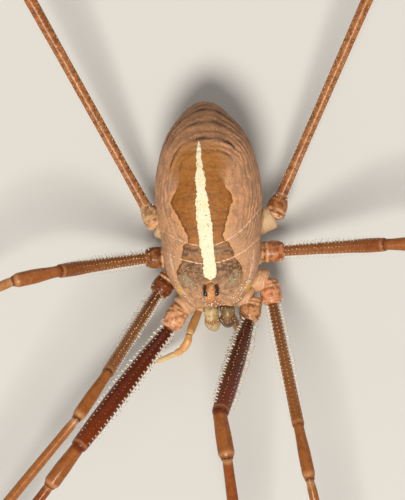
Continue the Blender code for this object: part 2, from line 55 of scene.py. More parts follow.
# Place along Y, half width, height of the back, height of the belly, roundness of the under side, and how far
# up the widest place lies, in millimetres from the middle of the trunk
STATIONS = np.array((
    (-4.48, 0.86, 3.55, 2.15, 1.4, 0.50),
    (-4.26, 1.14, 3.72, 1.95, 1.4, 0.50),
    (-3.56, 1.70, 4.12, 1.55, 1.4, 0.52),
    (-2.86, 1.98, 4.42, 1.35, 1.3, 0.52),
    (-2.16, 2.11, 4.64, 1.25, 1.3, 0.52),
    (-1.46, 2.15, 4.83, 1.15, 1.25, 0.50),
    (-0.10, 2.28, 5.10, 1.00, 1.2, 0.48),
    (0.60, 2.32, 5.18, 0.96, 1.3, 0.46),
    (1.31, 2.26, 5.14, 1.00, 1.6, 0.44),
    (2.01, 2.11, 5.00, 1.10, 1.9, 0.44),
    (2.71, 1.89, 4.74, 1.30, 2.0, 0.44),
    (3.41, 1.52, 4.34, 1.60, 2.0, 0.44),
    (4.11, 0.92, 3.74, 2.10, 2.0, 0.44),
    (4.40, 0.58, 3.40, 2.40, 2.0, 0.44),
    (4.53, 0.32, 3.16, 2.64, 2.0, 0.44),
    (4.58, 0.10, 3.00, 2.80, 2.0, 0.44),
))
BACK_ROUNDNESS = 2.15
# The drawing's zero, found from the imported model: the tip of the abdomen along Y and the eyes along X
ORIGIN = Vector((
    0.5 * (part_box("eye_left")[1].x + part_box("eye_right")[0].x) / MM - MOUND_CENTRE.x,
    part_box("abdomen")[1].y / MM - STATIONS[-1, 0],
    0.0,
))


def along_trunk(y, column):
    """One column of the stations at places along Y, on a smooth curve through them."""
    place, value = STATIONS[:, 0], STATIONS[:, column]
    last = len(place) - 1
    i = np.clip(np.searchsorted(place, y, side="right") - 1, 0, last - 1)
    before, after = np.maximum(i - 1, 0), np.minimum(i + 2, last)
    span = place[i + 1] - place[i]
    t = np.clip((y - place[i]) / span, 0.0, 1.0)
    start = (value[i + 1] - value[before]) / (place[i + 1] - place[before]) * span
    end = (value[after] - value[i]) / (place[after] - place[i]) * span
    return ((2 * t ** 3 - 3 * t ** 2 + 1) * value[i] + (t ** 3 - 2 * t ** 2 + t) * start
            + (3 * t ** 2 - 2 * t ** 3) * value[i + 1] + (t ** 3 - t ** 2) * end)


def trunk_ring(y, inset, sides):
    """The trunk's outline at one place along Y, drawn in by an inset."""
    half_width, back, belly, under, share = (float(along_trunk(y, column)) for column in (1, 2, 3, 4, 5))
    middle = belly + share * (back - belly)
    points = []
    for i in range(sides):
        turn = 2.0 * math.pi * i / sides
        across, rise = math.cos(turn), math.sin(turn)
        roundness = BACK_ROUNDNESS if rise >= 0.0 else under
        reach = back - middle if rise >= 0.0 else middle - belly
        x = TRUNK_MIDDLE + (half_width - inset) * math.copysign(abs(across) ** (2.0 / roundness), across)
        z = middle + (reach - inset) * math.copysign(abs(rise) ** (2.0 / roundness), rise)
        points.append(Vector((x, y, z)))
    return points


def loft(bm, rings):
    """Adds a closed surface through rings of points, with a flat cap at both ends, and returns its corners."""
    rows = [[bm.verts.new(p) for p in points] for points in rings]
    count = len(rings[0])
    for near, far in zip(rows, rows[1:]):
        for i in range(count):
            j = (i + 1) % count
            bm.faces.new((near[i], near[j], far[j], far[i]))
    bm.faces.new(list(reversed(rows[0])))
    bm.faces.new(rows[-1])
    return rows


def cross_axes(along):
    side = along.cross(Vector((0.0, 0.0, 1.0))).normalized()
    return side, side.cross(along).normalized()


def ring(centre, along, radius, sides):
    side, up = cross_axes(along)
    turns = [2.0 * math.pi * i / sides for i in range(sides)]
    return [centre + radius * (math.cos(turn) * side + math.sin(turn) * up) for turn in turns]


def direction(heading, pitch):
    h, p = math.radians(heading), math.radians(pitch)
    return Vector((math.cos(p) * math.cos(h), math.cos(p) * math.sin(h), math.sin(p)))


# Legs as they stand: where the femur starts, the heading of its root, then heading and pitch of each article in
# degrees, the ankle's height over the floor, and how far the foot turns on its way to its tip
LEGS = {
    "leg_1_right": {"base": (-1.91, -5.14, 2.10), "root": -122, "femur": (-129, 17), "patella": (-130, -8),
                    "tibia": (-131, -12), "metatarsus": -134, "ankle": 0.9, "turn": 22},
    "leg_1_left": {"base": (1.54, -5.03, 2.15), "root": -102, "femur": (-109, 48), "patella": (-84, 16),
                   "tibia": (-85, -32), "metatarsus": -81, "ankle": 1.6, "turn": -24},
    "leg_2_right": {"base": (-2.37, -3.64, 2.10), "root": -129, "femur": (-120, 50), "patella": (-126, 14),
                    "tibia": (-134, -20), "metatarsus": -137, "ankle": 1.7, "turn": 20},
    "leg_2_left": {"base": (2.62, -4.32, 2.10), "root": -82, "femur": (-83, 34), "patella": (-82, 14),
                   "tibia": (-79, -14), "metatarsus": -71, "ankle": 1.7, "turn": 26},
    "leg_3_right": {"base": (-2.78, -2.06, 2.05), "root": 180, "femur": (-167, 46), "patella": (-169, 12),
                    "tibia": (-163, -26), "metatarsus": -165, "ankle": 1.2, "turn": 24},
    "leg_3_left": {"base": (3.20, -2.06, 2.05), "root": 0, "femur": (-5, 38), "patella": (-3, 6),
                   "tibia": (0, -24), "metatarsus": 5, "ankle": 1.1, "turn": -28},
    "leg_4_right": {"base": (-2.70, 0.22, 1.95), "root": 120, "femur": (117, 19), "patella": (119, 4),
                    "tibia": (124, -13), "metatarsus": 130, "ankle": 1.2, "turn": 22},
    "leg_4_left": {"base": (3.26, 0.40, 2.00), "root": 67, "femur": (62.6, 19), "patella": (60, 4),
                   "tibia": (58, -13), "metatarsus": 52, "ankle": 1.2, "turn": -22},
}
TROCHANTER_SPAN = 0.95
COXA_ROOTS = {1: (0.28, -3.45, 1.98), 2: (0.30, -2.85, 1.86), 3: (0.32, -2.20, 1.80), 4: (0.36, -1.55, 1.76)}
COXA_OUTLINE = ((0.0, 0.20), (0.10, 0.40), (0.45, 0.50), (0.70, 0.53), (0.84, 0.51), (0.93, 0.54), (0.98, 0.51), (1.0, 0.40))
TRUNK_GRAIN = 0.0438


def smooth(low, high, value):
    t = np.clip((value - low) / (high - low), 0.0, 1.0)
    return t * t * (3.0 - 2.0 * t)


def between(stops, share):
    """A value read off pairs of place and value, with a soft bend at each."""
    places, values = [stop[0] for stop in stops], [np.array(stop[1], float) for stop in stops]
    i = min(max(sum(share > place for place in places) - 1, 0), len(places) - 2)
    t = float(smooth(places[i], places[i + 1], share))
    return values[i] + (values[i + 1] - values[i]) * t


def coxa(name):
    """Where a coxa starts inside the trunk, and where it ends at its joint with the trochanter."""
    number, side = int(name.split("_")[1]), name.split("_")[2]
    x, y, z = COXA_ROOTS[number]
    leg = LEGS[name]
    return Vector((x if side == "left" else -x, y, z)), Vector(leg["base"]) - TROCHANTER_SPAN * direction(leg["root"], 0)


def fused(bm, grain, softening):
    """One closed skin round all the overlapping shapes, in even small faces, with its creases softened."""
    bmesh.ops.recalc_face_normals(bm, faces=bm.faces)
    mesh = bpy.data.meshes.new("shapes")
    bm.to_mesh(mesh)
    bm.free()
    made = bpy.data.objects.new("shapes", mesh)
    bpy.context.scene.collection.objects.link(made)
    remesh = made.modifiers.new("fuse", "REMESH")
    remesh.mode = "VOXEL"
    remesh.voxel_size = grain
    soften = made.modifiers.new("soften", "SMOOTH")
    soften.factor = 0.5
    soften.iterations = softening
    result = bpy.data.meshes.new_from_object(made.evaluated_get(bpy.context.evaluated_depsgraph_get()))
    bpy.data.objects.remove(made)
    return result


def piece(name, mesh, finish, slot, *nodes):
    """Turns a mesh in drawing millimetres into a finished piece of the model, in place of its CAD nodes."""
    mesh.transform(Matrix.Scale(MM, 4) @ Matrix.Translation(ORIGIN))
    mesh.materials.clear()
    mesh.materials.append(finish)
    mesh.shade_smooth()
    made = bpy.data.objects.new(name, mesh)
    bpy.context.scene.collection.objects.link(made)
    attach(made, "root")
    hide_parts(*nodes)
    return made


bm = bmesh.new()
FRONT, REAR = STATIONS[0, 0], STATIONS[-1, 0]
places = [0.5 * (FRONT + REAR) - 0.5 * (REAR - FRONT) * math.cos(math.pi * i / 119) for i in range(120)]
rings = [trunk_ring(y, 0.0, 112) for y in places]
# Behind the front rim the shell turns in, which leaves the hollow that the mouthparts come out of
for depth, inset in ((0.05, 0.16), (0.30, 0.30), (0.50, 0.42)):
    hollow = trunk_ring(FRONT, inset, 112)
    rings.insert(0, [p + Vector((0.0, depth, 0.0)) for p in hollow])
loft(bm, rings)
for name in LEGS:
    root, joint = coxa(name)
    along = (joint - root).normalized()
    steps = [i / 24 for i in range(25)]
    loft(bm, [ring(root.lerp(joint, s), along, float(between(COXA_OUTLINE, s)), 32) for s in steps])
mound = bmesh.ops.create_uvsphere(bm, u_segments=32, v_segments=24, radius=1.0)["verts"]
bmesh.ops.transform(bm, matrix=Matrix.Translation(MOUND_CENTRE) @ Matrix.Diagonal((*MOUND_HALF, 1.0)), verts=mound)
trunk = fused(bm, TRUNK_GRAIN, 4)

# Markings of the back, as places on the drawing: the midline that they follow, half widths of the pale stripe
# and of the dark band round it, and the curves of the seams and of the furrows between the plates
MIDLINE = ((-3.35, -0.05), (-2.70, -0.07), (-2.0, -0.14), (-1.1, -0.19), (-0.3, -0.25), (1.7, -0.28), (2.6, -0.24), (4.4, 0.0))
STRIPE = ((-3.42, 0.0), (-3.36, 0.12), (-3.30, 0.24), (-3.15, 0.27), (-2.72, 0.25), (-2.45, 0.255), (-1.85, 0.29),
          (-1.4, 0.31), (-0.8, 0.31), (-0.42, 0.27), (-0.1, 0.27), (0.2, 0.20), (0.4, 0.175), (0.65, 0.205), (0.95, 0.19),
          (1.3, 0.125), (1.7, 0.115), (2.1, 0.10), (2.35, 0.07), (2.50, 0.03), (2.56, 0.0), (2.64, -0.5))
BAND = ((-4.5, 0.55), (-4.1, 0.80), (-3.9, 1.0), (-3.76, 1.15), (-3.55, 1.32), (-3.35, 1.42), (-3.12, 1.45), (-2.92, 1.40), (-2.66, 1.27), (-2.58, 1.14), (-2.2, 1.11),
        (-1.88, 0.98), (-1.80, 0.80), (-1.6, 0.75), (-1.17, 0.89), (-0.93, 1.0), (-0.45, 1.17), (-0.05, 1.34), (0.1, 1.30),
        (0.3, 1.18), (0.5, 1.05), (0.9, 0.98), (1.35, 1.18), (1.7, 1.18), (2.2, 0.98), (2.6, 0.65))
SEAMS = ((-2.0, 0.26), (-2.74, 0.20))
# The folds bow round the saddle from one flank to the other. Furrows lie at these places along Y, with their
# depth and how dark the painted shade in them is
FOLD_START = 0.5
FURROWS = ((1.62, 0.25, 0.15), (2.16, 0.6, 0.45), (2.45, 0.3, 0.2), (2.74, 1.0, 0.9), (3.10, 0.4, 0.25), (3.52, 1.0, 0.75),
           (3.78, 0.5, 0.4), (4.08, 1.3, 1.0), (4.30, 0.6, 0.6))


def read(stops, y):
    return np.interp(y, [stop[0] for stop in stops], [stop[1] for stop in stops])


def noise_at(points, spread, seed):
    """Soft noise between -1 and 1 whose lumps have the sizes in spread, in millimetres."""
    offset = Vector((seed * 7.31, seed * 3.17, seed * 5.93))
    return np.array([noise.noise(Vector(p) + offset) for p in points / np.array(spread)])


count = len(trunk.vertices)
place = np.empty(count * 3)
trunk.vertices.foreach_get("co", place)
place = place.reshape(-1, 3)
normal = np.empty(count * 3)
trunk.vertex_normals.foreach_get("vector", normal)
normal = normal.reshape(-1, 3)
x, y, z = place.T
half_width, back, belly, share = (along_trunk(y, column) for column in (1, 2, 3, 5))
middle = belly + share * (back - belly)
across = (x - TRUNK_MIDDLE) / half_width
rise = (z - middle) / np.where(z > middle, back - middle, middle - belly)
on_trunk = 1.0 - smooth(1.06, 1.16, np.hypot(across, rise))
on_mound = smooth(1.6, 1.0, np.linalg.norm((place - np.array(MOUND_CENTRE)) / np.array(MOUND_HALF), axis=1))
top = smooth(0.0, 0.25, rise)
turn = np.arctan2(np.maximum(rise, 0.0), np.abs(across))
from_line = x - read(MIDLINE, y)
sway = noise_at(place, (1.4, 1.4, 1.4), 1)
ripple = noise_at(place, (0.45, 0.45, 0.45), 2)
# Folds lie side by side along the flanks and swing round over the dome at the rear, in wavy, broken lines
outwards = 1.0 - turn / (0.5 * math.pi) + 0.25 * np.maximum(-rise, 0.0)
backwards = np.clip((y - FOLD_START) / (REAR - FOLD_START), 0.0, 1.0)
arch = (outwards ** 2.4 + backwards ** 2.4) ** (1.0 / 2.4)
# At the waist they bend in towards the seams
arch += 0.30 * np.clip((-0.3 - y) / 1.7, 0.0, 1.25) ** 2
broken = noise_at(place, (0.8, 0.8, 0.8), 6)
folds = 0.65 * np.sin(2.0 * math.pi * (14.5 * arch + 1.25 * sway + 0.50 * ripple))
folds += 0.35 * np.sin(2.0 * math.pi * (24.0 * arch + 1.10 * broken + 0.90 * ripple))
abdomen = smooth(-2.9, -1.9, y)
beyond_band = np.abs(from_line) - read(BAND, y)
strength = np.clip(0.70 + 0.80 * broken, 0.12, 1.2) * smooth(0.33, 0.52, arch) * on_trunk * abdomen * smooth(-0.6, 0.0, rise)
strength *= np.maximum(smooth(0.05, 0.35, beyond_band), smooth(1.2, 2.0, y))
dome = smooth(0.25, 0.55, backwards / arch) * smooth(1.9, 1.2, np.abs(from_line)) * on_trunk * top
strength *= 1.0 - 0.5 * dome
strength *= 1.0 - 0.35 * smooth(0.0, -1.0, from_line) * smooth(-0.5, 1.0, y)
push = 0.027 * folds * strength
furrow_shade = np.zeros(count)
for start, depth, dark in FURROWS:
    level = (start - FOLD_START) / (REAR - FOLD_START)
    off = (arch - level) * (REAR - FOLD_START) + 0.12 * sway + 0.05 * ripple
    shown = dome * np.clip(0.65 + 0.9 * broken, 0.1, 1.2)
    push -= 0.045 * depth * np.exp(-(off / 0.075) ** 2) * shown
    push += 0.028 * depth * np.exp(-((off + 0.15) / 0.10) ** 2) * shown
    # Painted shade: the furrow value darkens each groove, and a wider painted shadow lies just in front of the deeper
    # ones
    furrow_shade = np.maximum(furrow_shade, dark * np.exp(-(off / 0.10) ** 2) * shown)
    shade = 0.55 * dark * np.exp(-((off + 0.17) / 0.15) ** 2 - (from_line / 0.8) ** 2)
    furrow_shade = np.maximum(furrow_shade, shade * shown)
seam = np.full(count, 9.0)
for start, bow in SEAMS:
    off = y - (start + bow * from_line ** 2 + 0.02 * ripple)
    seam = np.minimum(seam, np.abs(off))
    push -= 0.025 * np.exp(-(off / 0.045) ** 2) * on_trunk * top
# Sunken muscle scars on both sides of the carapace, and the groove inside its margin
scar = np.zeros(count)
for sign in (-1.0, 1.0):
    away = np.hypot((sign * from_line - 1.0 - 0.5 * (y + 3.38)) / 0.26, (y + 3.38) / 0.36)
    scar = np.maximum(scar, np.exp(-away ** 2))
push -= 0.05 * scar * on_trunk * top
margin = np.exp(-((np.abs(across) - 0.86) / 0.03) ** 2) * smooth(-1.9, -2.4, y) * smooth(-4.3, -4.0, y)
push -= 0.03 * margin * top * on_trunk
# Wrinkles that run out from the eye mound over the front, and the lumpy middle of the front rim
round_mound = np.arctan2(y - MOUND_CENTRE.y, np.abs(x - MOUND_CENTRE.x))
rays = np.sin(17.0 * round_mound + 2.0 * sway + 2.2 * ripple) * smooth(-3.1, -3.5, y) * (1.0 - on_mound) * on_trunk * top
push += 0.012 * rays
snout = np.exp(-((x - TRUNK_MIDDLE) / 0.40) ** 2 - ((y + 4.36) / 0.24) ** 2)
push += 0.035 * snout * np.clip(noise_at(place, (0.12, 0.12, 0.12), 7) + 0.3, 0.0, 1.0)
# Fine wrinkles everywhere, across the plates as well as along them
push += 0.011 * noise_at(place, (0.13, 0.26, 0.13), 3) * on_trunk
push += 0.010 * noise_at(place, (0.34, 0.08, 0.2), 4) * on_trunk * smooth(0.75, 0.45, arch)
push += 0.007 * noise_at(place, (0.08, 0.08, 0.08), 5) * (1.0 - 0.5 * on_mound)
# Soft ringed skin at the end of each coxa, next to the trochanter
ring_way = np.full(count, 9.0)
for name in LEGS:
    root, joint = (np.array(end) for end in coxa(name))
    along = (joint - root) / np.linalg.norm(joint - root)
    way = (joint - place) @ along
    off_axis = np.linalg.norm(place - joint + way[:, None] * along, axis=1)
    near = (off_axis < 0.75) & (way < ring_way)
    ring_way[near] = way[near]
rings = np.cos(2.0 * math.pi * ring_way / 0.13 + 2.2 * ripple + sway) * smooth(0.60, 0.25, ring_way) * smooth(0.0, 0.08, ring_way)
push += 0.009 * rings * (1.0 - on_trunk)
# Belly: the plates of the under side, with a groove behind each
for start in (-0.9, 0.1, 1.0, 1.8, 2.5, 3.1, 3.6):
    off = y - (start + 0.12 * from_line ** 2)
    push -= 0.035 * np.exp(-(off / 0.06) ** 2) * smooth(-0.1, -0.4, rise) * on_trunk
place += normal * push[:, None]
trunk.vertices.foreach_set("co", place.ravel())
trunk.update()


def store(mesh, name, values, kind="FLOAT"):
    """Keeps one value for each corner of a mesh under a name that its material reads."""
    field = "value" if kind == "FLOAT" else "vector" if kind == "FLOAT_VECTOR" else "color"
    mesh.attributes.new(name, kind, "POINT").data.foreach_set(field, np.asarray(values, np.float32).ravel())


store(trunk, "stripe", np.where(top > 0.0, np.abs(from_line) - read(STRIPE, y), 9.0))
store(trunk, "band", np.where(top > 0.0, beyond_band, 9.0))
store(trunk, "seam", np.where(top > 0.0, seam, 9.0))
store(trunk, "furrow_shade", furrow_shade)
store(trunk, "fold", 0.5 + 0.5 * folds)
store(trunk, "scar", scar * top * on_trunk)
store(trunk, "margin", margin * top * on_trunk)
store(trunk, "flank", strength)
store(trunk, "station", y)
store(trunk, "coxa", (1.0 - on_trunk) * (1.0 - on_mound))
store(trunk, "rings", rings * (1.0 - on_trunk))
store(trunk, "snout", snout * on_trunk)
store(trunk, "mound", on_mound)
beside = np.abs(x - MOUND_CENTRE.x)
store(trunk, "brow", np.exp(-((beside - 0.265) / 0.10) ** 2 - ((y - MOUND_CENTRE.y - 0.17) / 0.17) ** 2))
store(trunk, "rays", rays)
gland = np.exp(-((np.abs(x - TRUNK_MIDDLE) - 1.50) / 0.15) ** 2 - ((y + 3.72) / 0.20) ** 2)
store(trunk, "gland", gland)
store(trunk, "rise", rise)


def new_material(name):
    made = bpy.data.materials.new(name)
    made.use_nodes = True
    return made, made.node_tree, made.node_tree.nodes["Principled BSDF"]


def add(tree, kind, sockets=(), **options):
    """Adds a node, sets its options, and fills its sockets, each with a plain value or with another node's result."""
    made = tree.nodes.new(kind)
    for name, value in options.items():
        setattr(made, name, value)
    for socket, value in dict(sockets).items():
        if isinstance(value, bpy.types.NodeSocket):
            tree.links.new(value, made.inputs[socket])
        else:
            made.inputs[socket].default_value = value
    return made


def stored(tree, name, result="Fac"):
    return add(tree, "ShaderNodeAttribute", attribute_name=name).outputs[result]


def grain(tree, size, detail=2.0, stretch=(1.0, 1.0, 1.0), vector=None):
    """Noise with lumps of a size in millimetres, on the piece's own coordinates unless others are given."""
    if vector is None:
        vector = add(tree, "ShaderNodeTexCoord").outputs["Object"]
        size = size * MM
    scaled = add(tree, "ShaderNodeMapping", {"Vector": vector, "Scale": [s / size for s in stretch]})
    noisy = add(tree, "ShaderNodeTexNoise", {"Vector": scaled.outputs["Vector"], "Scale": 1.0, "Detail": detail})
    return noisy.outputs["Fac"]


def sums(tree, kind, a, b, c=0.0):
    return add(tree, "ShaderNodeMath", {0: a, 1: b, 2: c}, operation=kind).outputs[0]


def ease(tree, value, start, end, low=0.0, high=1.0):
    """Goes softly from low to high while a value goes from start to end."""
    sockets = {"Value": value, "From Min": start, "From Max": end, "To Min": low, "To Max": high}
    return add(tree, "ShaderNodeMapRange", sockets, interpolation_type="SMOOTHSTEP").outputs[0]


def mixed(tree, share, a, b):
    """One colour over another. Each is a node's result or a plain colour."""
    a, b = [(*c, 1.0) if isinstance(c, tuple) else c for c in (a, b)]
    return add(tree, "ShaderNodeMix", {0: share, 6: a, 7: b}, data_type="RGBA").outputs[2]


def bumps(tree, height, depth, under=None):
    """Bump from a height between 0 and 1, of a depth in millimetres, on top of another bump if there is one."""
    sockets = {"Height": height, "Distance": depth * MM, "Strength": 1.0}
    if under is not None:
        sockets["Normal"] = under
    return add(tree, "ShaderNodeBump", sockets).outputs["Normal"]


TAN_PINK = (0.55, 0.268, 0.124)
TAN_GREY = (0.38, 0.200, 0.105)
WAIST_PINK = (0.50, 0.270, 0.145)
DARK_STREAK_AND_FOLD_SHADE = (0.150, 0.074, 0.040)
PALE_STREAK_AND_HIGHLIGHT = (0.62, 0.37, 0.20)
DOME_BROWN = (0.24, 0.112, 0.048)
FURROW_SHADE = (0.060, 0.026, 0.012)
SADDLE_BROWN = (0.29, 0.100, 0.012)
SADDLE_SHADE = (0.19, 0.064, 0.009)
SADDLE_REAR = (0.36, 0.145, 0.030)
SADDLE_LINE = (0.085, 0.030, 0.008)
SADDLE_RIM = (0.60, 0.285, 0.095)
CARAPACE_BROWN = (0.112, 0.051, 0.019)
CARAPACE_TAN = (0.300, 0.150, 0.068)
BLOCK_ORANGE = (0.37, 0.150, 0.040)
SCAR_GREY = (0.30, 0.220, 0.125)
FRONT_TAN = (0.46, 0.235, 0.118)
FRONT_GREY_AND_SHADE = (0.300, 0.172, 0.092)
FLUSH_PINK = (0.62, 0.285, 0.150)
SNOUT_BROWN = (0.285, 0.100, 0.042)
SEAM_PALE = (0.80, 0.58, 0.38)
STRIPE_CREAM = (0.72, 0.66, 0.46)
MOUND_ORANGE = (0.58, 0.250, 0.075)
MOUND_BROWN = (0.075, 0.024, 0.006)
COXA_PALE = (0.64, 0.345, 0.185)
COXA_PINK = (0.56, 0.262, 0.130)
COXA_TAN = (0.50, 0.350, 0.195)
BELLY_PALE = (0.50, 0.32, 0.18)
MEMBRANE_YELLOW = (0.58, 0.42, 0.18)
GLAND_YELLOW = (0.56, 0.320, 0.070)



def creases(tree, size, stretch):
    """Thin branching lines: 1 on a line and 0 between the lines, which lie about a size apart."""
    off = sums(tree, "ABSOLUTE", sums(tree, "SUBTRACT", grain(tree, size, 3.0, stretch), 0.5), 0.0)
    return ease(tree, off, 0.050, 0.008)


trunk_finish, tree, shader = new_material("trunk cuticle")
station, band, stripe = stored(tree, "station"), stored(tree, "band"), stored(tree, "stripe")
flank_share, folding = stored(tree, "flank"), stored(tree, "fold")
lumps = grain(tree, 0.50, 3.0)
patches = grain(tree, 0.16, 3.0)
specks = grain(tree, 0.06, 2.0)
streaks = grain(tree, 0.12, 4.0, (1.0, 0.40, 1.0))
cross_streaks = grain(tree, 0.13, 4.0, (0.35, 1.0, 1.0))
long_creases = creases(tree, 0.34, (1.0, 0.38, 1.0))
cross_creases = creases(tree, 0.26, (0.40, 1.0, 1.0))
# Tan ground, pinkish and greyish by turns, brighter at the waist, with painted shade in the troughs of the folds and a
# painted highlight along their crests
colour = mixed(tree, ease(tree, lumps, 0.40, 0.60), TAN_GREY, TAN_PINK)
colour = mixed(tree, sums(tree, "MULTIPLY", ease(tree, station, -0.6, -1.7), ease(tree, lumps, 0.3, 0.55, 0.5, 0.9)), colour, WAIST_PINK)
colour = mixed(tree, ease(tree, patches, 0.52, 0.70, 0.0, 0.65), colour, TAN_GREY)
colour = mixed(tree, ease(tree, grain(tree, 0.33, 2.0), 0.52, 0.66, 0.0, 0.60), colour, FLUSH_PINK)
# Painted shade: darker along the troughs of the folds
fold_shade_lines = sums(tree, "MULTIPLY", ease(tree, folding, 0.45, 0.12), flank_share)
colour = mixed(tree, sums(tree, "MULTIPLY", fold_shade_lines, 0.66), colour, DARK_STREAK_AND_FOLD_SHADE)
# Painted highlight: paler along the crests of the folds
fold_highlight_lines = sums(tree, "MULTIPLY", ease(tree, folding, 0.70, 0.90), sums(tree, "MULTIPLY", flank_share, ease(tree, streaks, 0.45, 0.65)))
colour = mixed(tree, sums(tree, "MULTIPLY", fold_highlight_lines, 0.8), colour, PALE_STREAK_AND_HIGHLIGHT)
colour = mixed(tree, ease(tree, streaks, 0.62, 0.76, 0.0, 0.35), colour, PALE_STREAK_AND_HIGHLIGHT)
colour = mixed(tree, ease(tree, cross_streaks, 0.58, 0.70, 0.0, 0.34), colour, DARK_STREAK_AND_FOLD_SHADE)
to_rear = ease(tree, station, 1.8, 3.0)
flank_creases = sums(tree, "MULTIPLY", long_creases, sums(tree, "SUBTRACT", 0.22, sums(tree, "MULTIPLY", to_rear, 0.12)))
colour = mixed(tree, flank_creases, colour, (0.235, 0.112, 0.062))
colour = mixed(tree, sums(tree, "MULTIPLY", cross_creases, sums(tree, "MULTIPLY", to_rear, 0.45)), colour, DARK_STREAK_AND_FOLD_SHADE)
# Rear dome: greyer and darker in the middle
rearwards = sums(tree, "MULTIPLY", ease(tree, station, 1.9, 3.2), ease(tree, lumps, 0.28, 0.62, 1.0, 0.60))
colour = mixed(tree, rearwards, colour, DOME_BROWN)
fronted = sums(tree, "MULTIPLY", ease(tree, station, -3.1, -3.8), ease(tree, patches, 0.35, 0.62, 0.70, 0.20))
colour = mixed(tree, fronted, colour, FRONT_TAN)
# The dark band: an orange-brown saddle on the abdomen, greyer blocks and a grey-brown field on the carapace
ragged = sums(tree, "MULTIPLY_ADD", grain(tree, 0.22, 4.0), 0.20, sums(tree, "SUBTRACT", band, 0.10))
soft = sums(tree, "MAXIMUM", ease(tree, station, 0.4, 1.3, 0.022, 0.46), ease(tree, station, -3.0, -3.5, 0.022, 0.16))
in_band = add(tree, "ShaderNodeMapRange", {"Value": ragged, "From Min": soft, "From Max": sums(tree, "MULTIPLY", soft, -1.0)},
              interpolation_type="SMOOTHSTEP").outputs[0]
fading = sums(tree, "MULTIPLY", ease(tree, station, 2.9, 1.9), ease(tree, station, -4.6, -4.2))
rim = sums(tree, "MULTIPLY", ease(tree, ragged, 0.20, 0.03), ease(tree, station, 0.7, 0.2))
rim = sums(tree, "MULTIPLY", rim, ease(tree, station, -2.0, -1.7, 0.35, 0.75))
colour = mixed(tree, rim, colour, SADDLE_RIM)
saddle = mixed(tree, ease(tree, cross_streaks, 0.42, 0.66, 0.0, 0.75), SADDLE_BROWN, SADDLE_SHADE)
saddle = mixed(tree, sums(tree, "MULTIPLY", ease(tree, station, 0.4, 1.7), ease(tree, lumps, 0.3, 0.6, 1.0, 0.7)), saddle, SADDLE_REAR)
saddle = mixed(tree, ease(tree, patches, 0.56, 0.72, 0.0, 0.35), saddle, SADDLE_REAR)
saddle = mixed(tree, sums(tree, "MULTIPLY", ease(tree, station, -1.35, -1.85), ease(tree, lumps, 0.35, 0.6, 0.9, 0.35)), saddle, (0.40, 0.155, 0.034))
waves = sums(tree, "SINE", sums(tree, "MULTIPLY_ADD", station, 2.0 * math.pi / 0.65, sums(tree, "MULTIPLY_ADD", lumps, 3.0, -0.6)), 0.0)
saddle = mixed(tree, sums(tree, "MULTIPLY", ease(tree, waves, 0.2, 0.95), ease(tree, patches, 0.35, 0.6, 0.65, 0.15)), saddle, SADDLE_SHADE)
block = mixed(tree, ease(tree, cross_streaks, 0.40, 0.62), CARAPACE_TAN, CARAPACE_BROWN)
block = mixed(tree, sums(tree, "MULTIPLY", ease(tree, station, -2.32, -2.46), ease(tree, patches, 0.35, 0.6, 0.9, 0.3)), block, BLOCK_ORANGE)
field = mixed(tree, ease(tree, sums(tree, "MULTIPLY_ADD", cross_streaks, 0.5, sums(tree, "MULTIPLY", patches, 0.5)), 0.44, 0.56), CARAPACE_BROWN, CARAPACE_TAN)
field = mixed(tree, ease(tree, station, -2.95, -3.5, 0.0, 0.55), field, CARAPACE_TAN)
front = mixed(tree, ease(tree, grain(tree, 0.30, 3.0), 0.42, 0.58), FRONT_GREY_AND_SHADE, FRONT_TAN)
front = mixed(tree, ease(tree, patches, 0.54, 0.68, 0.0, 0.7), front, FLUSH_PINK)
field = mixed(tree, ease(tree, station, -3.35, -3.85, 0.0, 0.9), field, front)
field = mixed(tree, sums(tree, "MULTIPLY", cross_creases, 0.5), field, (0.075, 0.036, 0.017))
banded = mixed(tree, ease(tree, station, -1.93, -2.03), saddle, block)
banded = mixed(tree, ease(tree, station, -2.60, -2.70), banded, field)
edge = sums(tree, "MULTIPLY", ease(tree, ragged, -0.13, -0.01), ease(tree, station, 0.9, 0.0))
edge = sums(tree, "MULTIPLY", edge, ease(tree, station, -3.1, -2.8, 0.2, 0.85))
banded = mixed(tree, sums(tree, "MULTIPLY", edge, ease(tree, lumps, 0.35, 0.5, 0.45, 1.0)), banded, SADDLE_LINE)
colour = mixed(tree, sums(tree, "MULTIPLY", in_band, fading), colour, banded)
# Grey scars, the wrinkles of the front with painted shade in their troughs and a painted highlight on their ridges, and
# the brown middle of the front rim
colour = mixed(tree, ease(tree, stored(tree, "rays"), -0.25, -0.85, 0.0, 0.42), colour, FRONT_GREY_AND_SHADE)
colour = mixed(tree, ease(tree, stored(tree, "rays"), 0.55, 0.95, 0.0, 0.22), colour, PALE_STREAK_AND_HIGHLIGHT)
scarred = sums(tree, "MULTIPLY", ease(tree, stored(tree, "scar"), 0.2, 0.75), ease(tree, patches, 0.35, 0.60, 0.35, 0.95))
colour = mixed(tree, scarred, colour, SCAR_GREY)
margin_line = sums(tree, "MULTIPLY", ease(tree, stored(tree, "margin"), 0.3, 0.9), ease(tree, patches, 0.38, 0.62, 0.10, 0.60))
colour = mixed(tree, margin_line, colour, SEAM_PALE)
colour = mixed(tree, ease(tree, stored(tree, "gland"), 0.25, 0.7, 0.0, 0.85), colour, GLAND_YELLOW)
colour = mixed(tree, ease(tree, stored(tree, "snout"), 0.25, 0.8, 0.0, 0.85), colour, SNOUT_BROWN)
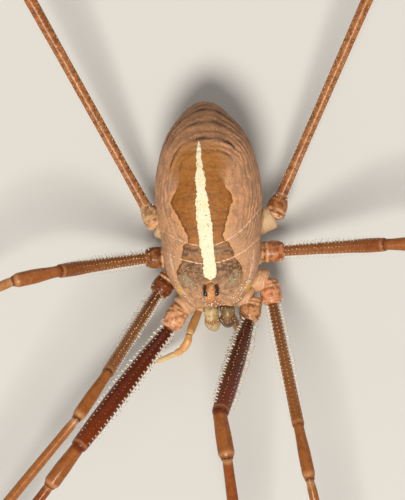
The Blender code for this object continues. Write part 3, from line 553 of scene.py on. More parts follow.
# Painted shade in the furrows with a painted shadow in front of them, pale seams, then the cream stripe with its beaded
# edges and a few dark points
furrow_shaded = sums(tree, "MULTIPLY", ease(tree, stored(tree, "furrow_shade"), 0.12, 0.75), ease(tree, patches, 0.30, 0.55, 0.55, 0.95))
colour = mixed(tree, furrow_shaded, colour, FURROW_SHADE)
seam_lines = ease(tree, sums(tree, "MULTIPLY_ADD", streaks, 0.06, stored(tree, "seam")), 0.066, 0.034)
colour = mixed(tree, sums(tree, "MULTIPLY", seam_lines, ease(tree, patches, 0.35, 0.55, 0.25, 0.85)), colour, SEAM_PALE)
frayed = sums(tree, "MULTIPLY_ADD", grain(tree, 0.13, 2.0), 0.17, sums(tree, "SUBTRACT", stripe, 0.09))
cream = mixed(tree, ease(tree, grain(tree, 0.09, 0.0), 0.26, 0.20), STRIPE_CREAM, (0.30, 0.17, 0.06))
cream = mixed(tree, ease(tree, lumps, 0.45, 0.65, 0.0, 0.35), cream, (0.80, 0.62, 0.30))
colour = mixed(tree, ease(tree, frayed, 0.012, -0.012), colour, cream)
# Eye mound, coxae and belly
mound_colour = mixed(tree, ease(tree, patches, 0.4, 0.65), MOUND_ORANGE, (0.44, 0.175, 0.055))
colour = mixed(tree, ease(tree, stored(tree, "mound"), 0.60, 0.95), colour, mound_colour)
browed = sums(tree, "MULTIPLY", ease(tree, stored(tree, "brow"), 0.28, 0.55), ease(tree, specks, 0.30, 0.42, 0.6, 0.97))
colour = mixed(tree, browed, colour, MOUND_BROWN)
coxa_colour = mixed(tree, ease(tree, patches, 0.40, 0.62), COXA_PINK, COXA_PALE)
coxa_colour = mixed(tree, ease(tree, station, -1.5, -0.7), coxa_colour, COXA_TAN)
# Painted highlight on the ridges of the soft rings and painted shade in the grooves between them
coxa_colour = mixed(tree, ease(tree, stored(tree, "rings"), 0.25, 0.9, 0.0, 0.35), coxa_colour, (0.70, 0.42, 0.25))
coxa_colour = mixed(tree, ease(tree, stored(tree, "rings"), -0.25, -0.9, 0.0, 0.40), coxa_colour, (0.34, 0.160, 0.080))
colour = mixed(tree, ease(tree, stored(tree, "coxa"), 0.1, 0.7), colour, coxa_colour)
membrane = sums(tree, "MULTIPLY", ease(tree, stored(tree, "coxa"), 0.02, 0.35), ease(tree, stored(tree, "coxa"), 0.95, 0.5))
membrane = sums(tree, "MULTIPLY", membrane, ease(tree, patches, 0.35, 0.55, 0.25, 0.85))
colour = mixed(tree, membrane, colour, MEMBRANE_YELLOW)
colour = mixed(tree, ease(tree, stored(tree, "rise"), -0.1, -0.6, 0.0, 0.8), colour, BELLY_PALE)
tree.links.new(colour, shader.inputs["Base Color"])
tree.links.new(ease(tree, specks, 0.3, 0.7, 0.46, 0.68), shader.inputs["Roughness"])
relief = bumps(tree, specks, 0.014)
relief = bumps(tree, patches, 0.022, relief)
relief = bumps(tree, streaks, 0.016, relief)
relief = bumps(tree, sums(tree, "SUBTRACT", 1.0, long_creases), 0.007, relief)
tree.links.new(relief, shader.inputs["Normal"])
shader.inputs["Specular IOR Level"].default_value = 0.30
shader.inputs["Subsurface Weight"].default_value = 0.05
shader.inputs["Subsurface Radius"].default_value = (0.4 * MM, 0.2 * MM, 0.1 * MM)
trunk_skin = piece("trunk", trunk, trunk_finish, "abdomen", "prosoma", "abdomen")

# The two eyes are glossy black lenses that face sideways, set into the flanks of the mound in a low brown rim.
EYE_OFFSET = Vector((0.225, -0.09, 0.22))
EYE_RADIUS = 0.145
eye_finish, tree, shader = new_material("eye lens")
haze = mixed(tree, grain(tree, 0.2), (0.004, 0.003, 0.003), (0.016, 0.010, 0.008))
tree.links.new(haze, shader.inputs["Base Color"])
shader.inputs["Roughness"].default_value = 0.06
shader.inputs["Coat Weight"].default_value = 0.6
for side, sign in (("left", 1.0), ("right", -1.0)):
    bm = bmesh.new()
    bmesh.ops.create_uvsphere(bm, u_segments=40, v_segments=28, radius=EYE_RADIUS)
    centre = MOUND_CENTRE + Vector((sign * EYE_OFFSET.x, EYE_OFFSET.y, EYE_OFFSET.z))
    squash = Matrix.Diagonal((0.9, 1.0, 1.0, 1.0))
    bmesh.ops.transform(bm, matrix=Matrix.Translation(centre) @ squash, verts=bm.verts)
    mesh = bpy.data.meshes.new("eye_" + side)
    bm.to_mesh(mesh)
    bm.free()
    piece(f"eye_lens_{side}", mesh, eye_finish, "eye", f"eye_{side}")

# Mouthparts and legs are hollow tubes of hard cuticle, one for each article, joined by pale soft skin. Each is
# swept along its own line, with its thickness and its tint given at a few places on the way.


def sweep(bm, points, radii, tints, sides, mottling=0.35):
    """Adds a tube along a line of points. Radii and tints are read at each point's share of the way."""
    layer = bm.verts.layers.float_color.get("tint") or bm.verts.layers.float_color.new("tint")
    points = [Vector(p) for p in points]
    lengths = [0.0]
    for a, b in zip(points, points[1:]):
        lengths.append(lengths[-1] + (b - a).length)
    rows = []
    for i, point in enumerate(points):
        before, after = points[max(i - 1, 0)], points[min(i + 1, len(points) - 1)]
        share = lengths[i] / lengths[-1]
        radius = float(between(radii, share))
        tint = (*between(tints, share), mottling)
        row = [bm.verts.new(p) for p in ring(point, (after - before).normalized(), radius, sides)]
        for corner in row:
            corner[layer] = tint
        rows.append(row)
    for near, far in zip(rows, rows[1:]):
        for i in range(sides):
            j = (i + 1) % sides
            bm.faces.new((near[i], near[j], far[j], far[i]))
    for row, end in ((rows[0], points[0]), (rows[-1], points[-1])):
        cap = bm.verts.new(end)
        cap[layer] = row[0][layer]
        for i in range(sides):
            corners = (row[i], row[(i + 1) % sides], cap)
            bm.faces.new(corners if row is rows[-1] else tuple(reversed(corners)))


def line(near, far, step, bow=0.0):
    """Evenly spaced points between two places, lifted in the middle by a bow."""
    near, far = Vector(near), Vector(far)
    count = max(2, round((far - near).length / step))
    lift = cross_axes((far - near).normalized())[1] * bow
    return [near.lerp(far, i / count) + lift * math.sin(math.pi * i / count) for i in range(count + 1)]


def through(stops, step):
    """Evenly spaced points on a smooth curve through a few places."""
    stops = [Vector(p) for p in stops]
    points = []
    for i in range(len(stops) - 1):
        a, b = stops[i], stops[i + 1]
        start = 0.5 * (b - stops[max(i - 1, 0)])
        end = 0.5 * (stops[min(i + 2, len(stops) - 1)] - a)
        count = max(2, round((b - a).length / step))
        for k in range(count):
            t = k / count
            points.append((2 * t ** 3 - 3 * t ** 2 + 1) * a + (t ** 3 - 2 * t ** 2 + t) * start
                          + (3 * t ** 2 - 2 * t ** 3) * b + (t ** 3 - t ** 2) * end)
    return points + [stops[-1]]


def to_mesh(bm, name):
    bmesh.ops.recalc_face_normals(bm, faces=bm.faces)
    mesh = bpy.data.meshes.new(name)
    bm.to_mesh(mesh)
    bm.free()
    return mesh


def horn_finish(name, roughness, relief_depth, mottle):
    """Hard cuticle that takes its tint from the mesh, a little mottled, with a fine grain."""
    finish, tree, shader = new_material(name)
    tint = stored(tree, "tint", "Color")
    dark = add(tree, "ShaderNodeMix", {0: 1.0, 6: tint, 7: (*mottle, 1.0)}, data_type="RGBA", blend_type="MULTIPLY").outputs[2]
    mottling = stored(tree, "tint", "Alpha")
    colour = mixed(tree, sums(tree, "MULTIPLY", ease(tree, grain(tree, 0.22, 4.0), 0.42, 0.62), mottling), tint, dark)
    tree.links.new(colour, shader.inputs["Base Color"])
    tree.links.new(ease(tree, grain(tree, 0.08), 0.3, 0.7, roughness - 0.07, roughness + 0.08), shader.inputs["Roughness"])
    fine = bumps(tree, grain(tree, 0.06, 2.0), relief_depth)
    rough = bumps(tree, sums(tree, "MULTIPLY", grain(tree, 0.13, 3.0), mottling), 10.0 * relief_depth, fine)
    tree.links.new(rough, shader.inputs["Normal"])
    shader.inputs["Specular IOR Level"].default_value = 0.5
    return finish, tree, shader


PALE_HORN = (0.46, 0.315, 0.140)
CREAM = (0.56, 0.420, 0.210)
HORN_IN_PAINTED_SHADE = (0.090, 0.045, 0.012)
AMBER = (0.33, 0.135, 0.028)
PALP_ORANGE = (0.54, 0.270, 0.080)
PALP_PALE = (0.62, 0.43, 0.19)
KNEE_WHITE = (0.58, 0.345, 0.150)
mouth_finish, tree, shader = horn_finish("pale horn", 0.34, 0.003, (0.62, 0.50, 0.36))
shader.inputs["Subsurface Weight"].default_value = 0.15
shader.inputs["Subsurface Radius"].default_value = (0.3 * MM, 0.2 * MM, 0.1 * MM)

# Chelicerae: two pincers of pale horn under the front rim. The arm bends down into a swollen hand, which ends in
# a fixed finger and a hinged one with dark tips.
CHELICERAE = {
    "right": ((-0.12, -4.25, 2.66), (-0.10, -4.60, 2.80), (-0.07, -4.84, 2.72), (-0.04, -5.04, 2.34), (0.01, -5.24, 1.82)),
    "left": ((0.58, -4.25, 2.68), (0.62, -4.60, 2.84), (0.64, -4.82, 2.78), (0.63, -4.98, 2.42), (0.58, -5.10, 2.00)),
}
ARM_RADII = ((0.0, 0.27), (0.25, 0.33), (0.38, 0.30), (0.46, 0.32), (0.66, 0.355), (0.86, 0.28), (1.0, 0.16))
# The left pincer's tints are darker than the right pincer's: painted shade
ARM_TINTS = {
    "right": ((0.0, AMBER), (0.15, PALE_HORN), (0.36, CREAM), (0.44, AMBER), (0.52, PALE_HORN), (0.85, CREAM), (1.0, PALE_HORN)),
    "left": ((0.0, AMBER), (0.15, HORN_IN_PAINTED_SHADE), (0.36, (0.22, 0.130, 0.045)), (0.44, (0.22, 0.090, 0.020)), (0.55, HORN_IN_PAINTED_SHADE), (0.85, (0.22, 0.125, 0.045)), (1.0, HORN_IN_PAINTED_SHADE)),
}
for side, path in CHELICERAE.items():
    bm = bmesh.new()
    sweep(bm, through(path, 0.04), ARM_RADII, ARM_TINTS[side], 28, 0.85)
    end = Vector(path[-1])
    down = (end - Vector(path[-2])).normalized()
    for sign, reach in ((-1.0, 0.34), (1.0, 0.32)):
        start = end - 0.20 * down + Vector((sign * 0.10, 0.0, 0.0))
        finger = (start, end + 0.4 * reach * down + Vector((sign * 0.12, 0.0, 0.02)), end + reach * down + Vector((sign * 0.03, 0.0, 0.0)))
        sweep(bm, through(finger, 0.03), ((0.0, 0.11), (0.5, 0.075), (1.0, 0.02)), ((0.0, CREAM), (0.6, PALE_HORN), (0.9, (0.10, 0.03, 0.01))), 14)
    piece(f"pincer_{side}", to_mesh(bm, "pincer"), mouth_finish, "mouthparts", f"chelicera_{side}")

# Pedipalps: two short feelers of orange horn with whitish knees and a pale yellow last article.
PALPS = {
    "right": ((-0.42, -3.80, 1.70), (-0.60, -4.45, 1.62), (-0.80, -4.86, 1.86), (-1.09, -5.53, 2.25), (-1.18, -5.84, 2.20), (-1.42, -6.15, 1.98),
              (-1.70, -6.28, 1.75), (-2.62, -6.54, 1.12)),
    "left": ((0.50, -3.80, 1.66), (0.64, -4.45, 1.52), (0.86, -4.88, 1.46), (1.10, -5.36, 1.42), (1.14, -5.64, 1.40), (1.12, -5.98, 1.34),
             (1.04, -6.32, 1.24), (0.74, -7.20, 0.90)),
}
PALP_RADII = (((0.0, 0.24), (0.85, 0.24), (1.0, 0.15)), ((0.0, 0.15), (0.4, 0.185), (0.85, 0.185), (1.0, 0.15)), ((0.0, 0.14), (0.4, 0.175), (0.9, 0.18), (1.0, 0.14)),
              ((0.0, 0.13), (0.5, 0.165), (0.9, 0.16), (1.0, 0.12)), ((0.0, 0.11), (0.2, 0.13), (0.8, 0.105), (1.0, 0.05)))
PALP_TINTS = (((0.0, COXA_PALE), (1.0, COXA_PALE)), ((0.0, PALP_ORANGE), (0.8, PALP_ORANGE), (1.0, KNEE_WHITE)),
              ((0.0, PALP_ORANGE), (0.8, (0.62, 0.31, 0.10)), (1.0, KNEE_WHITE)), ((0.0, (0.62, 0.31, 0.10)), (0.8, (0.64, 0.38, 0.14)), (1.0, KNEE_WHITE)),
              ((0.0, PALP_PALE), (1.0, PALP_PALE)))
PALP_STOPS = ((0, 1), (1, 2, 3), (3, 4, 5), (5, 6), (6, 7))
for side, path in PALPS.items():
    bm = bmesh.new()
    for stops, radii, tints in zip(PALP_STOPS, PALP_RADII, PALP_TINTS):
        sweep(bm, through([path[i] for i in stops], 0.05), radii, tints, 24)
    piece(f"palp_{side}", to_mesh(bm, "palp"), mouth_finish, "mouthparts", f"pedipalp_{side}")

# Legs: each has a barrel-shaped trochanter with pale collars, a long spiny femur, a stout patella, a smooth tibia,
# and a thin metatarsus and foot of many short rings. One skin covers a whole leg, from its root to its claw.
LEG_SPANS = {
    1: {"femur": 7.0, "patella": 2.05, "tibia": 5.2, "metatarsus": 6.6, "tarsus": 9.0},
    2: {"femur": 7.0, "patella": 2.4, "tibia": 8.6, "metatarsus": 10.4, "tarsus": 18.0},
    3: {"femur": 5.5, "patella": 2.05, "tibia": 5.2, "metatarsus": 7.6, "tarsus": 9.5},
    4: {"femur": 11.8, "patella": 2.4, "tibia": 7.8, "metatarsus": 11.5, "tarsus": 13.0},
}
TROCHANTER_RADII = ((-0.10, 0.32), (0.0, 0.43), (0.05, 0.46), (0.10, 0.44), (0.16, 0.465), (0.21, 0.47), (0.25, 0.455), (0.33, 0.465),
                    (0.50, 0.48), (0.68, 0.47), (0.82, 0.435), (0.92, 0.40), (0.97, 0.355), (1.0, 0.27))
FEMUR_RADII = {
    1: ((0.0, 0.19), (0.02, 0.235), (0.12, 0.29), (0.30, 0.36), (0.55, 0.40), (0.80, 0.40), (0.93, 0.37), (0.975, 0.36), (0.99, 0.34), (1.0, 0.26)),
    2: ((0.0, 0.17), (0.02, 0.22), (0.30, 0.235), (0.70, 0.245), (0.93, 0.26), (0.975, 0.265), (0.99, 0.245), (1.0, 0.19)),
    3: ((0.0, 0.18), (0.02, 0.225), (0.30, 0.24), (0.60, 0.27), (0.85, 0.31), (0.97, 0.30), (0.99, 0.28), (1.0, 0.21)),
    4: ((0.0, 0.19), (0.02, 0.25), (0.20, 0.225), (0.60, 0.235), (0.90, 0.26), (0.98, 0.265), (0.992, 0.24), (1.0, 0.19)),
}
PATELLA_RADII = {1: (0.25, 0.30, 0.345, 0.35, 0.25), 2: (0.19, 0.22, 0.27, 0.275, 0.20), 3: (0.20, 0.245, 0.315, 0.31, 0.22), 4: (0.19, 0.225, 0.28, 0.28, 0.20)}
TIBIA_RADII = {1: (0.20, 0.22, 0.25, 0.235, 0.18), 2: (0.165, 0.20, 0.22, 0.20, 0.15), 3: (0.18, 0.21, 0.235, 0.215, 0.16), 4: (0.165, 0.20, 0.22, 0.20, 0.15)}
METATARSUS_RADII = {1: (0.155, 0.115), 2: (0.135, 0.095), 3: (0.145, 0.105), 4: (0.14, 0.10)}
FOOT_RADII = {1: (0.100, 0.045), 2: (0.085, 0.036), 3: (0.095, 0.042), 4: (0.092, 0.040)}
SOCKET_OVERLAP = 0.16
RING_SPAN = {"metatarsus": 1.25, "tarsus": 0.42}

# Tints of the near part, the middle and the far part of each femur, and of patella and tibia
LEG_TINTS = {
    1: {"femur": ((0.085, 0.013, 0.002), (0.110, 0.017, 0.002), (0.165, 0.028, 0.003)), "patella": (0.280, 0.086, 0.018), "tibia": (0.23, 0.056, 0.009)},
    2: {"femur": ((0.230, 0.078, 0.022), (0.290, 0.105, 0.026), (0.300, 0.098, 0.018)), "patella": (0.280, 0.088, 0.017), "tibia": (0.30, 0.100, 0.022)},
    3: {"femur": ((0.290, 0.108, 0.036), (0.275, 0.100, 0.030), (0.230, 0.066, 0.015)), "patella": (0.285, 0.092, 0.022), "tibia": (0.38, 0.160, 0.055)},
    4: {"femur": ((0.360, 0.140, 0.044), (0.350, 0.130, 0.034), (0.340, 0.115, 0.028)), "patella": (0.33, 0.105, 0.026), "tibia": (0.35, 0.125, 0.034)},
}
# Tints of the trochanters, then of their dark belts. They differ from leg to leg partly in their own colour and partly
# by painted shade: the dark ones of the second and third right legs are painted shade.
ROOT_TINTS_AND_SHADE = {
    "leg_1_right": ((0.70, 0.350, 0.175), (0.42, 0.150, 0.052)), "leg_1_left": ((0.50, 0.240, 0.100), (0.24, 0.070, 0.020)),
    "leg_2_right": ((0.18, 0.046, 0.011), (0.10, 0.022, 0.004)), "leg_2_left": ((0.61, 0.265, 0.125), (0.42, 0.150, 0.055)),
    "leg_3_right": ((0.26, 0.088, 0.022), (0.16, 0.044, 0.010)), "leg_3_left": ((0.44, 0.165, 0.060), (0.32, 0.110, 0.036)),
    "leg_4_right": ((0.54, 0.330, 0.160), (0.40, 0.180, 0.066)), "leg_4_left": ((0.36, 0.140, 0.045), (0.24, 0.080, 0.024)),
}
COLLAR_PALE = (0.62, 0.34, 0.17)
KNEE_PALE = (0.50, 0.25, 0.11)
KNEE_DARK = (0.08, 0.020, 0.006)
SHANK_TAN = (0.33, 0.130, 0.044)
FOOT_TAN = (0.38, 0.180, 0.075)
FOOT_DARK = (0.20, 0.090, 0.036)

leg_finish, tree, shader = horn_finish("red-brown cuticle", 0.26, 0.004, (0.45, 0.36, 0.30))
shader.inputs["Specular IOR Level"].default_value = 0.15
shader.inputs["Coat Weight"].default_value = 0.12
shader.inputs["Coat Roughness"].default_value = 0.14
shader.inputs["Subsurface Weight"].default_value = 0.05
shader.inputs["Subsurface Radius"].default_value = (0.35 * MM, 0.12 * MM, 0.05 * MM)


def leg_joints(name):
    """The joints of a leg from its coxa to its ankle, the heading of its shank and the pitch at which it comes down."""
    pose, spans = LEGS[name], LEG_SPANS[int(name.split("_")[1])]
    joints = [coxa(name)[1], Vector(pose["base"])]
    for article in ("femur", "patella", "tibia"):
        joints.append(joints[-1] + direction(*pose[article]) * spans[article])
    pitch = -math.degrees(math.asin((joints[-1].z - pose["ankle"]) / spans["metatarsus"]))
    joints.append(joints[-1] + direction(pose["metatarsus"], pitch) * spans["metatarsus"])
    return joints, pitch


def foot_line(name, ankle, pitch, radius):
    """The foot comes down from the ankle in a smooth arc, then lies along the floor to its tip."""
    pose, length = LEGS[name], LEG_SPANS[int(name.split("_")[1])]["tarsus"]
    count = round(length / 0.07)
    drop = ankle.z - radius[0]
    landing = 2.0 * drop / math.sin(math.radians(-pitch))
    x, y, height = ankle.x, ankle.y, drop
    points = [ankle]
    for i in range(1, count + 1):
        share = i / count
        lower = drop * max(0.0, 1.0 - share * length / landing) ** 2
        forward = math.sqrt((length / count) ** 2 - (height - lower) ** 2)
        bearing = math.radians(pose["metatarsus"] + pose["turn"] * share ** 1.5)
        x, y, height = x + forward * math.cos(bearing), y + forward * math.sin(bearing), lower
        points.append(Vector((x, y, height + radius[0] + (radius[1] - radius[0]) * share)))
    return points


def evenly(values):
    return tuple((i / (len(values) - 1), value) for i, value in enumerate(values))


def blend(a, b, share):
    return tuple(p + (q - p) * share for p, q in zip(a, b))


def trochanter_radii(number):
    """The radii of a trochanter. The hind ones narrow towards the femur."""
    if number < 4:
        return TROCHANTER_RADII
    return tuple((s, r * (1.0 - 0.26 * float(smooth(0.25, 0.95, s)))) for s, r in TROCHANTER_RADII)


def ringed(length, span, start, end, swell, tint, joint_tint, tip_tint):
    """Radii and tints of an article made of short rings, each a little swollen at its far end, with dark joints."""
    count = round(length / span)
    radii, tints = [], []
    for i in range(count):
        for inside, size, shade in ((0.0, 1.0 - swell, 1.0), (0.12, 1.0, 0.0), (0.80, 1.0 + swell, 0.0), (0.97, 1.0, 0.3)):
            share = (i + inside) / count
            radii.append((share, (start + (end - start) * share) * size))
            base = [a + (b - a) * share for a, b in zip(tint, tip_tint)]
            tints.append((share, [a + (b - a) * shade for a, b in zip(base, joint_tint)]))
    return radii + [(1.0, end)], tints + [(1.0, tip_tint)]


feet = {}
for name, pose in LEGS.items():
    number = int(name.split("_")[1])
    spans, tints = LEG_SPANS[number], LEG_TINTS[number]
    joints, pitch = leg_joints(name)
    bm = bmesh.new()
    hip, base, knee, shin, heel, ankle = joints
    way = (base - hip).normalized()
    start = -TROCHANTER_RADII[0][0]
    outline = [((s + start) / (1.0 + start), r) for s, r in trochanter_radii(number)]
    root_tint, belt = ROOT_TINTS_AND_SHADE[name]
    faint = blend(root_tint, belt, 0.5)
    trochanter = (COLLAR_PALE, COLLAR_PALE, faint, COLLAR_PALE, faint, root_tint, root_tint, root_tint, faint, root_tint, COLLAR_PALE)
    sweep(bm, line(hip - start * TROCHANTER_SPAN * way, base + 0.06 * way, 0.02), outline, evenly(trochanter), 40, 0.9)
    way = (knee - base).normalized()
    near, middle, far = tints["femur"]
    femur = ((0.0, belt), (0.012, COLLAR_PALE), (0.03, belt), (0.06, near), (0.5, middle), (0.955, far), (0.975, blend(far, KNEE_PALE, 0.5)), (0.988, far), (1.0, KNEE_DARK))
    sweep(bm, line(base - SOCKET_OVERLAP * way, knee, 0.06, 0.06), FEMUR_RADII[number], femur, 36, 0.75 if number == 4 else 0.35)
    way = (shin - knee).normalized()
    tint = tints["patella"]
    patella = ((0.0, KNEE_DARK), (0.07, far), (0.16, tint), (0.82, tint), (0.92, blend(tint, KNEE_PALE, 0.6)), (0.97, tint), (1.0, KNEE_DARK))
    sweep(bm, line(knee - SOCKET_OVERLAP * way, shin, 0.04, 0.05), tuple(zip((0.0, 0.12, 0.62, 0.88, 1.0), PATELLA_RADII[number])), patella, 36)
    way = (heel - shin).normalized()
    tint = tints["tibia"]
    tibia = ((0.0, KNEE_DARK), (0.03, blend(tint, KNEE_PALE, 0.6)), (0.07, tint), (0.9, tint), (0.95, far), (0.98, KNEE_PALE), (1.0, KNEE_DARK))
    sweep(bm, line(shin - SOCKET_OVERLAP * way, heel, 0.06), tuple(zip((0.0, 0.08, 0.5, 0.95, 1.0), TIBIA_RADII[number])), tibia, 28)
    way = (ankle - heel).normalized()
    shank = ringed(spans["metatarsus"], RING_SPAN["metatarsus"], *METATARSUS_RADII[number], 0.04, SHANK_TAN, KNEE_PALE, SHANK_TAN)
    sweep(bm, line(heel - SOCKET_OVERLAP * way, ankle, 0.06), *shank, 20)
    foot = foot_line(name, ankle, pitch, FOOT_RADII[number])
    toes = ringed(spans["tarsus"], RING_SPAN["tarsus"], *FOOT_RADII[number], 0.07, FOOT_TAN, FOOT_DARK, FOOT_TAN)
    sweep(bm, foot, *toes, 16)
    feet[name] = foot
    articles = ("trochanter", "femur", "patella", "tibia", "metatarsus", "tarsus")
    piece(name, to_mesh(bm, name), leg_finish, "femur", *(f"{name}_{article}" for article in articles))

# Claws: each foot ends in one small hooked claw of dark horn.
CLAW_LINE = ((-0.04, 0.0), (0.08, 0.012), (0.17, 0.006), (0.24, -0.022))
claw_finish, tree, shader = new_material("claw horn")
tree.links.new(mixed(tree, grain(tree, 0.05), (0.10, 0.035, 0.012), (0.20, 0.085, 0.03)), shader.inputs["Base Color"])
shader.inputs["Roughness"].default_value = 0.25
bm = bmesh.new()
for name, foot in feet.items():
    tip = foot[-1]
    ahead = (foot[-1] - foot[-2]).normalized()
    hook = [tip + ahead * along + Vector((0.0, 0.0, lift)) for along, lift in CLAW_LINE]
    sweep(bm, through(hook, 0.02), ((0.0, 0.034), (0.5, 0.026), (1.0, 0.006)), ((0.0, FOOT_DARK), (1.0, KNEE_DARK)), 12)
piece("claws", to_mesh(bm, "claws"), claw_finish, "foot")

# Denticles: short pointed spines in rows along the legs, and pale grains in rows over the back. Each is a hard
# peg with a white shaft and a fine dark tip, rooted in the skin and leaning towards the foot.


def input_of(tree, kind, name, value):
    """Adds a named input to a node tree of geometry, and returns nothing: the tree's input node then has it."""
    socket = tree.interface.new_socket(name, in_out="INPUT", socket_type=kind)
    if value is not None:
        socket.default_value = value


pegs = bpy.data.node_groups.new("pegs on roots", "GeometryNodeTree")
input_of(pegs, "NodeSocketGeometry", "Roots", None)
input_of(pegs, "NodeSocketFloat", "Thickness", 0.3)
input_of(pegs, "NodeSocketFloat", "Point", 0.1)
input_of(pegs, "NodeSocketInt", "Sides", 6)
input_of(pegs, "NodeSocketFloat", "Variation", 0.2)
input_of(pegs, "NodeSocketInt", "Seed", 1)
input_of(pegs, "NodeSocketMaterial", "Finish", None)
pegs.interface.new_socket("Pegs", in_out="OUTPUT", socket_type="NodeSocketGeometry")
given = pegs.nodes.new("NodeGroupInput").outputs
sharp = sums(pegs, "MULTIPLY", given["Thickness"], given["Point"])
cone = add(pegs, "GeometryNodeMeshCone", {"Vertices": given["Sides"], "Side Segments": 4, "Radius Top": sharp,
                                         "Radius Bottom": given["Thickness"], "Depth": 1.0})
at = add(pegs, "ShaderNodeSeparateXYZ", {0: add(pegs, "GeometryNodeInputPosition").outputs[0]})
tall = add(pegs, "GeometryNodeStoreNamedAttribute", {"Geometry": cone.outputs["Mesh"], "Name": "height", "Value": at.outputs["Z"]})
wide = add(pegs, "GeometryNodeStoreNamedAttribute", {"Geometry": tall.outputs["Geometry"], "Name": "width", "Value": at.outputs["X"]})
lean = add(pegs, "GeometryNodeInputNamedAttribute", {"Name": "way"}, data_type="FLOAT_VECTOR").outputs["Attribute"]
turned = add(pegs, "FunctionNodeAlignRotationToVector", {"Vector": lean}, axis="Z").outputs["Rotation"]
size = add(pegs, "GeometryNodeInputNamedAttribute", {"Name": "size"}, data_type="FLOAT").outputs["Attribute"]
least, most = sums(pegs, "SUBTRACT", 1.0, given["Variation"]), sums(pegs, "ADD", 1.0, given["Variation"])
chance = add(pegs, "FunctionNodeRandomValue", {"Min": least, "Max": most, "Seed": given["Seed"]}, data_type="FLOAT")
chance = next(o for o in chance.outputs if o.enabled)
placed = add(pegs, "GeometryNodeInstanceOnPoints", {"Points": given["Roots"], "Instance": wide.outputs["Geometry"], "Rotation": turned,
                                                    "Scale": sums(pegs, "MULTIPLY", size, chance)})
counted = add(pegs, "GeometryNodeStoreNamedAttribute", {"Geometry": placed.outputs["Instances"], "Name": "peg",
                                                         "Value": add(pegs, "GeometryNodeInputIndex").outputs[0]}, data_type="INT", domain="INSTANCE")
real = add(pegs, "GeometryNodeRealizeInstances", {"Geometry": counted.outputs["Geometry"]})
dressed = add(pegs, "GeometryNodeSetMaterial", {"Geometry": real.outputs["Geometry"], "Material": given["Finish"]})
pegs.links.new(dressed.outputs["Geometry"], pegs.nodes.new("NodeGroupOutput").inputs["Pegs"])


def peg_mesh(name, roots, finish, **sizes):
    """Stands a peg on every root, given as its place, the way it points and its length, and lays out its map."""
    mesh = bpy.data.meshes.new(name)
    mesh.from_pydata([root[0] for root in roots], [], [])
    store(mesh, "way", [root[1] for root in roots], "FLOAT_VECTOR")
    store(mesh, "size", [root[2] for root in roots])
    made = bpy.data.objects.new(name, mesh)
    bpy.context.scene.collection.objects.link(made)
    standing = made.modifiers.new("pegs", "NODES")
    standing.node_group = pegs
    sizes["Finish"] = finish
    for socket in pegs.interface.items_tree:
        if socket.name in sizes:
            standing[socket.identifier] = sizes[socket.name]
    result = bpy.data.meshes.new_from_object(made.evaluated_get(bpy.context.evaluated_depsgraph_get()))
    bpy.data.objects.remove(made)
    # Each peg has its own small patch on the map, with its height up the patch
    cells = math.ceil(math.sqrt(len(roots)))
    corners = np.empty(len(result.loops), int)
    result.loops.foreach_get("vertex_index", corners)
    values = {}
    for field in ("height", "width", "peg"):
        values[field] = np.empty(len(result.vertices), int if field == "peg" else np.float32)
        result.attributes[field].data.foreach_get("value", values[field])
    thickness = sizes["Thickness"]
    u = (values["peg"] % cells + 0.5 + 0.35 * values["width"] / thickness) / cells
    v = (values["peg"] // cells + 0.15 + 0.7 * values["height"]) / cells
    chart = result.uv_layers.new(name="OFBake")
    chart.data.foreach_set("uv", np.stack([u, v], 1)[corners].astype(np.float32).ravel())
    return result


SHAFT_WHITE = (0.84, 0.73, 0.57)
PEG_TIP = (0.13, 0.045, 0.018)
PEG_ROOT = (0.17, 0.045, 0.012)


def peg_finish(name, root_tint, root_end, tip_start, roughness, rear_shaft):
    """Dark root, pale shaft and dark tip. The shafts turn to another tint behind the head."""
    finish, tree, shader = new_material(name)
    height = sums(tree, "MULTIPLY_ADD", grain(tree, 0.05), 0.1, sums(tree, "SUBTRACT", stored(tree, "height"), 0.05))
    along = add(tree, "ShaderNodeSeparateXYZ", {0: add(tree, "ShaderNodeTexCoord").outputs["Object"]}).outputs["Y"]
    shaft = mixed(tree, ease(tree, along, (ORIGIN.y - 2.9) * MM, (ORIGIN.y - 1.9) * MM), SHAFT_WHITE, rear_shaft)
    colour = mixed(tree, ease(tree, height, root_end - 0.08, root_end + 0.08), root_tint, shaft)
    colour = mixed(tree, ease(tree, height, tip_start, tip_start + 0.12), colour, PEG_TIP)
    tree.links.new(colour, shader.inputs["Base Color"])
    shader.inputs["Roughness"].default_value = roughness
    return finish


# Rows round each femur, in degrees from its inner side over its top, then the space between two spines in a row,
# their length and how far they lean
SPINE_ROWS = {
    1: (((0, 0.85), (38, 1.40), (80, 0.55), (130, 0.55), (180, 1.0), (214, 0.8), (270, 0.7), (325, 0.8)), 0.205, 0.215, 0.36),
    2: (((0, 0.9), (36, 0.6), (84, 1.0), (136, 0.55), (180, 1.0), (235, 0.8), (300, 0.8)), 0.195, 0.195, 0.40),
    3: (((0, 0.9), (42, 0.7), (88, 1.0), (138, 0.7), (180, 1.0), (235, 0.8), (300, 0.8)), 0.190, 0.180, 0.40),
    4: (((0, 1.0), (45, 0.8), (90, 1.0), (135, 0.8), (180, 1.0), (240, 0.9), (300, 0.9)), 0.215, 0.090, 0.45),
}
SPINE_SHARE = (0.045, 0.95)
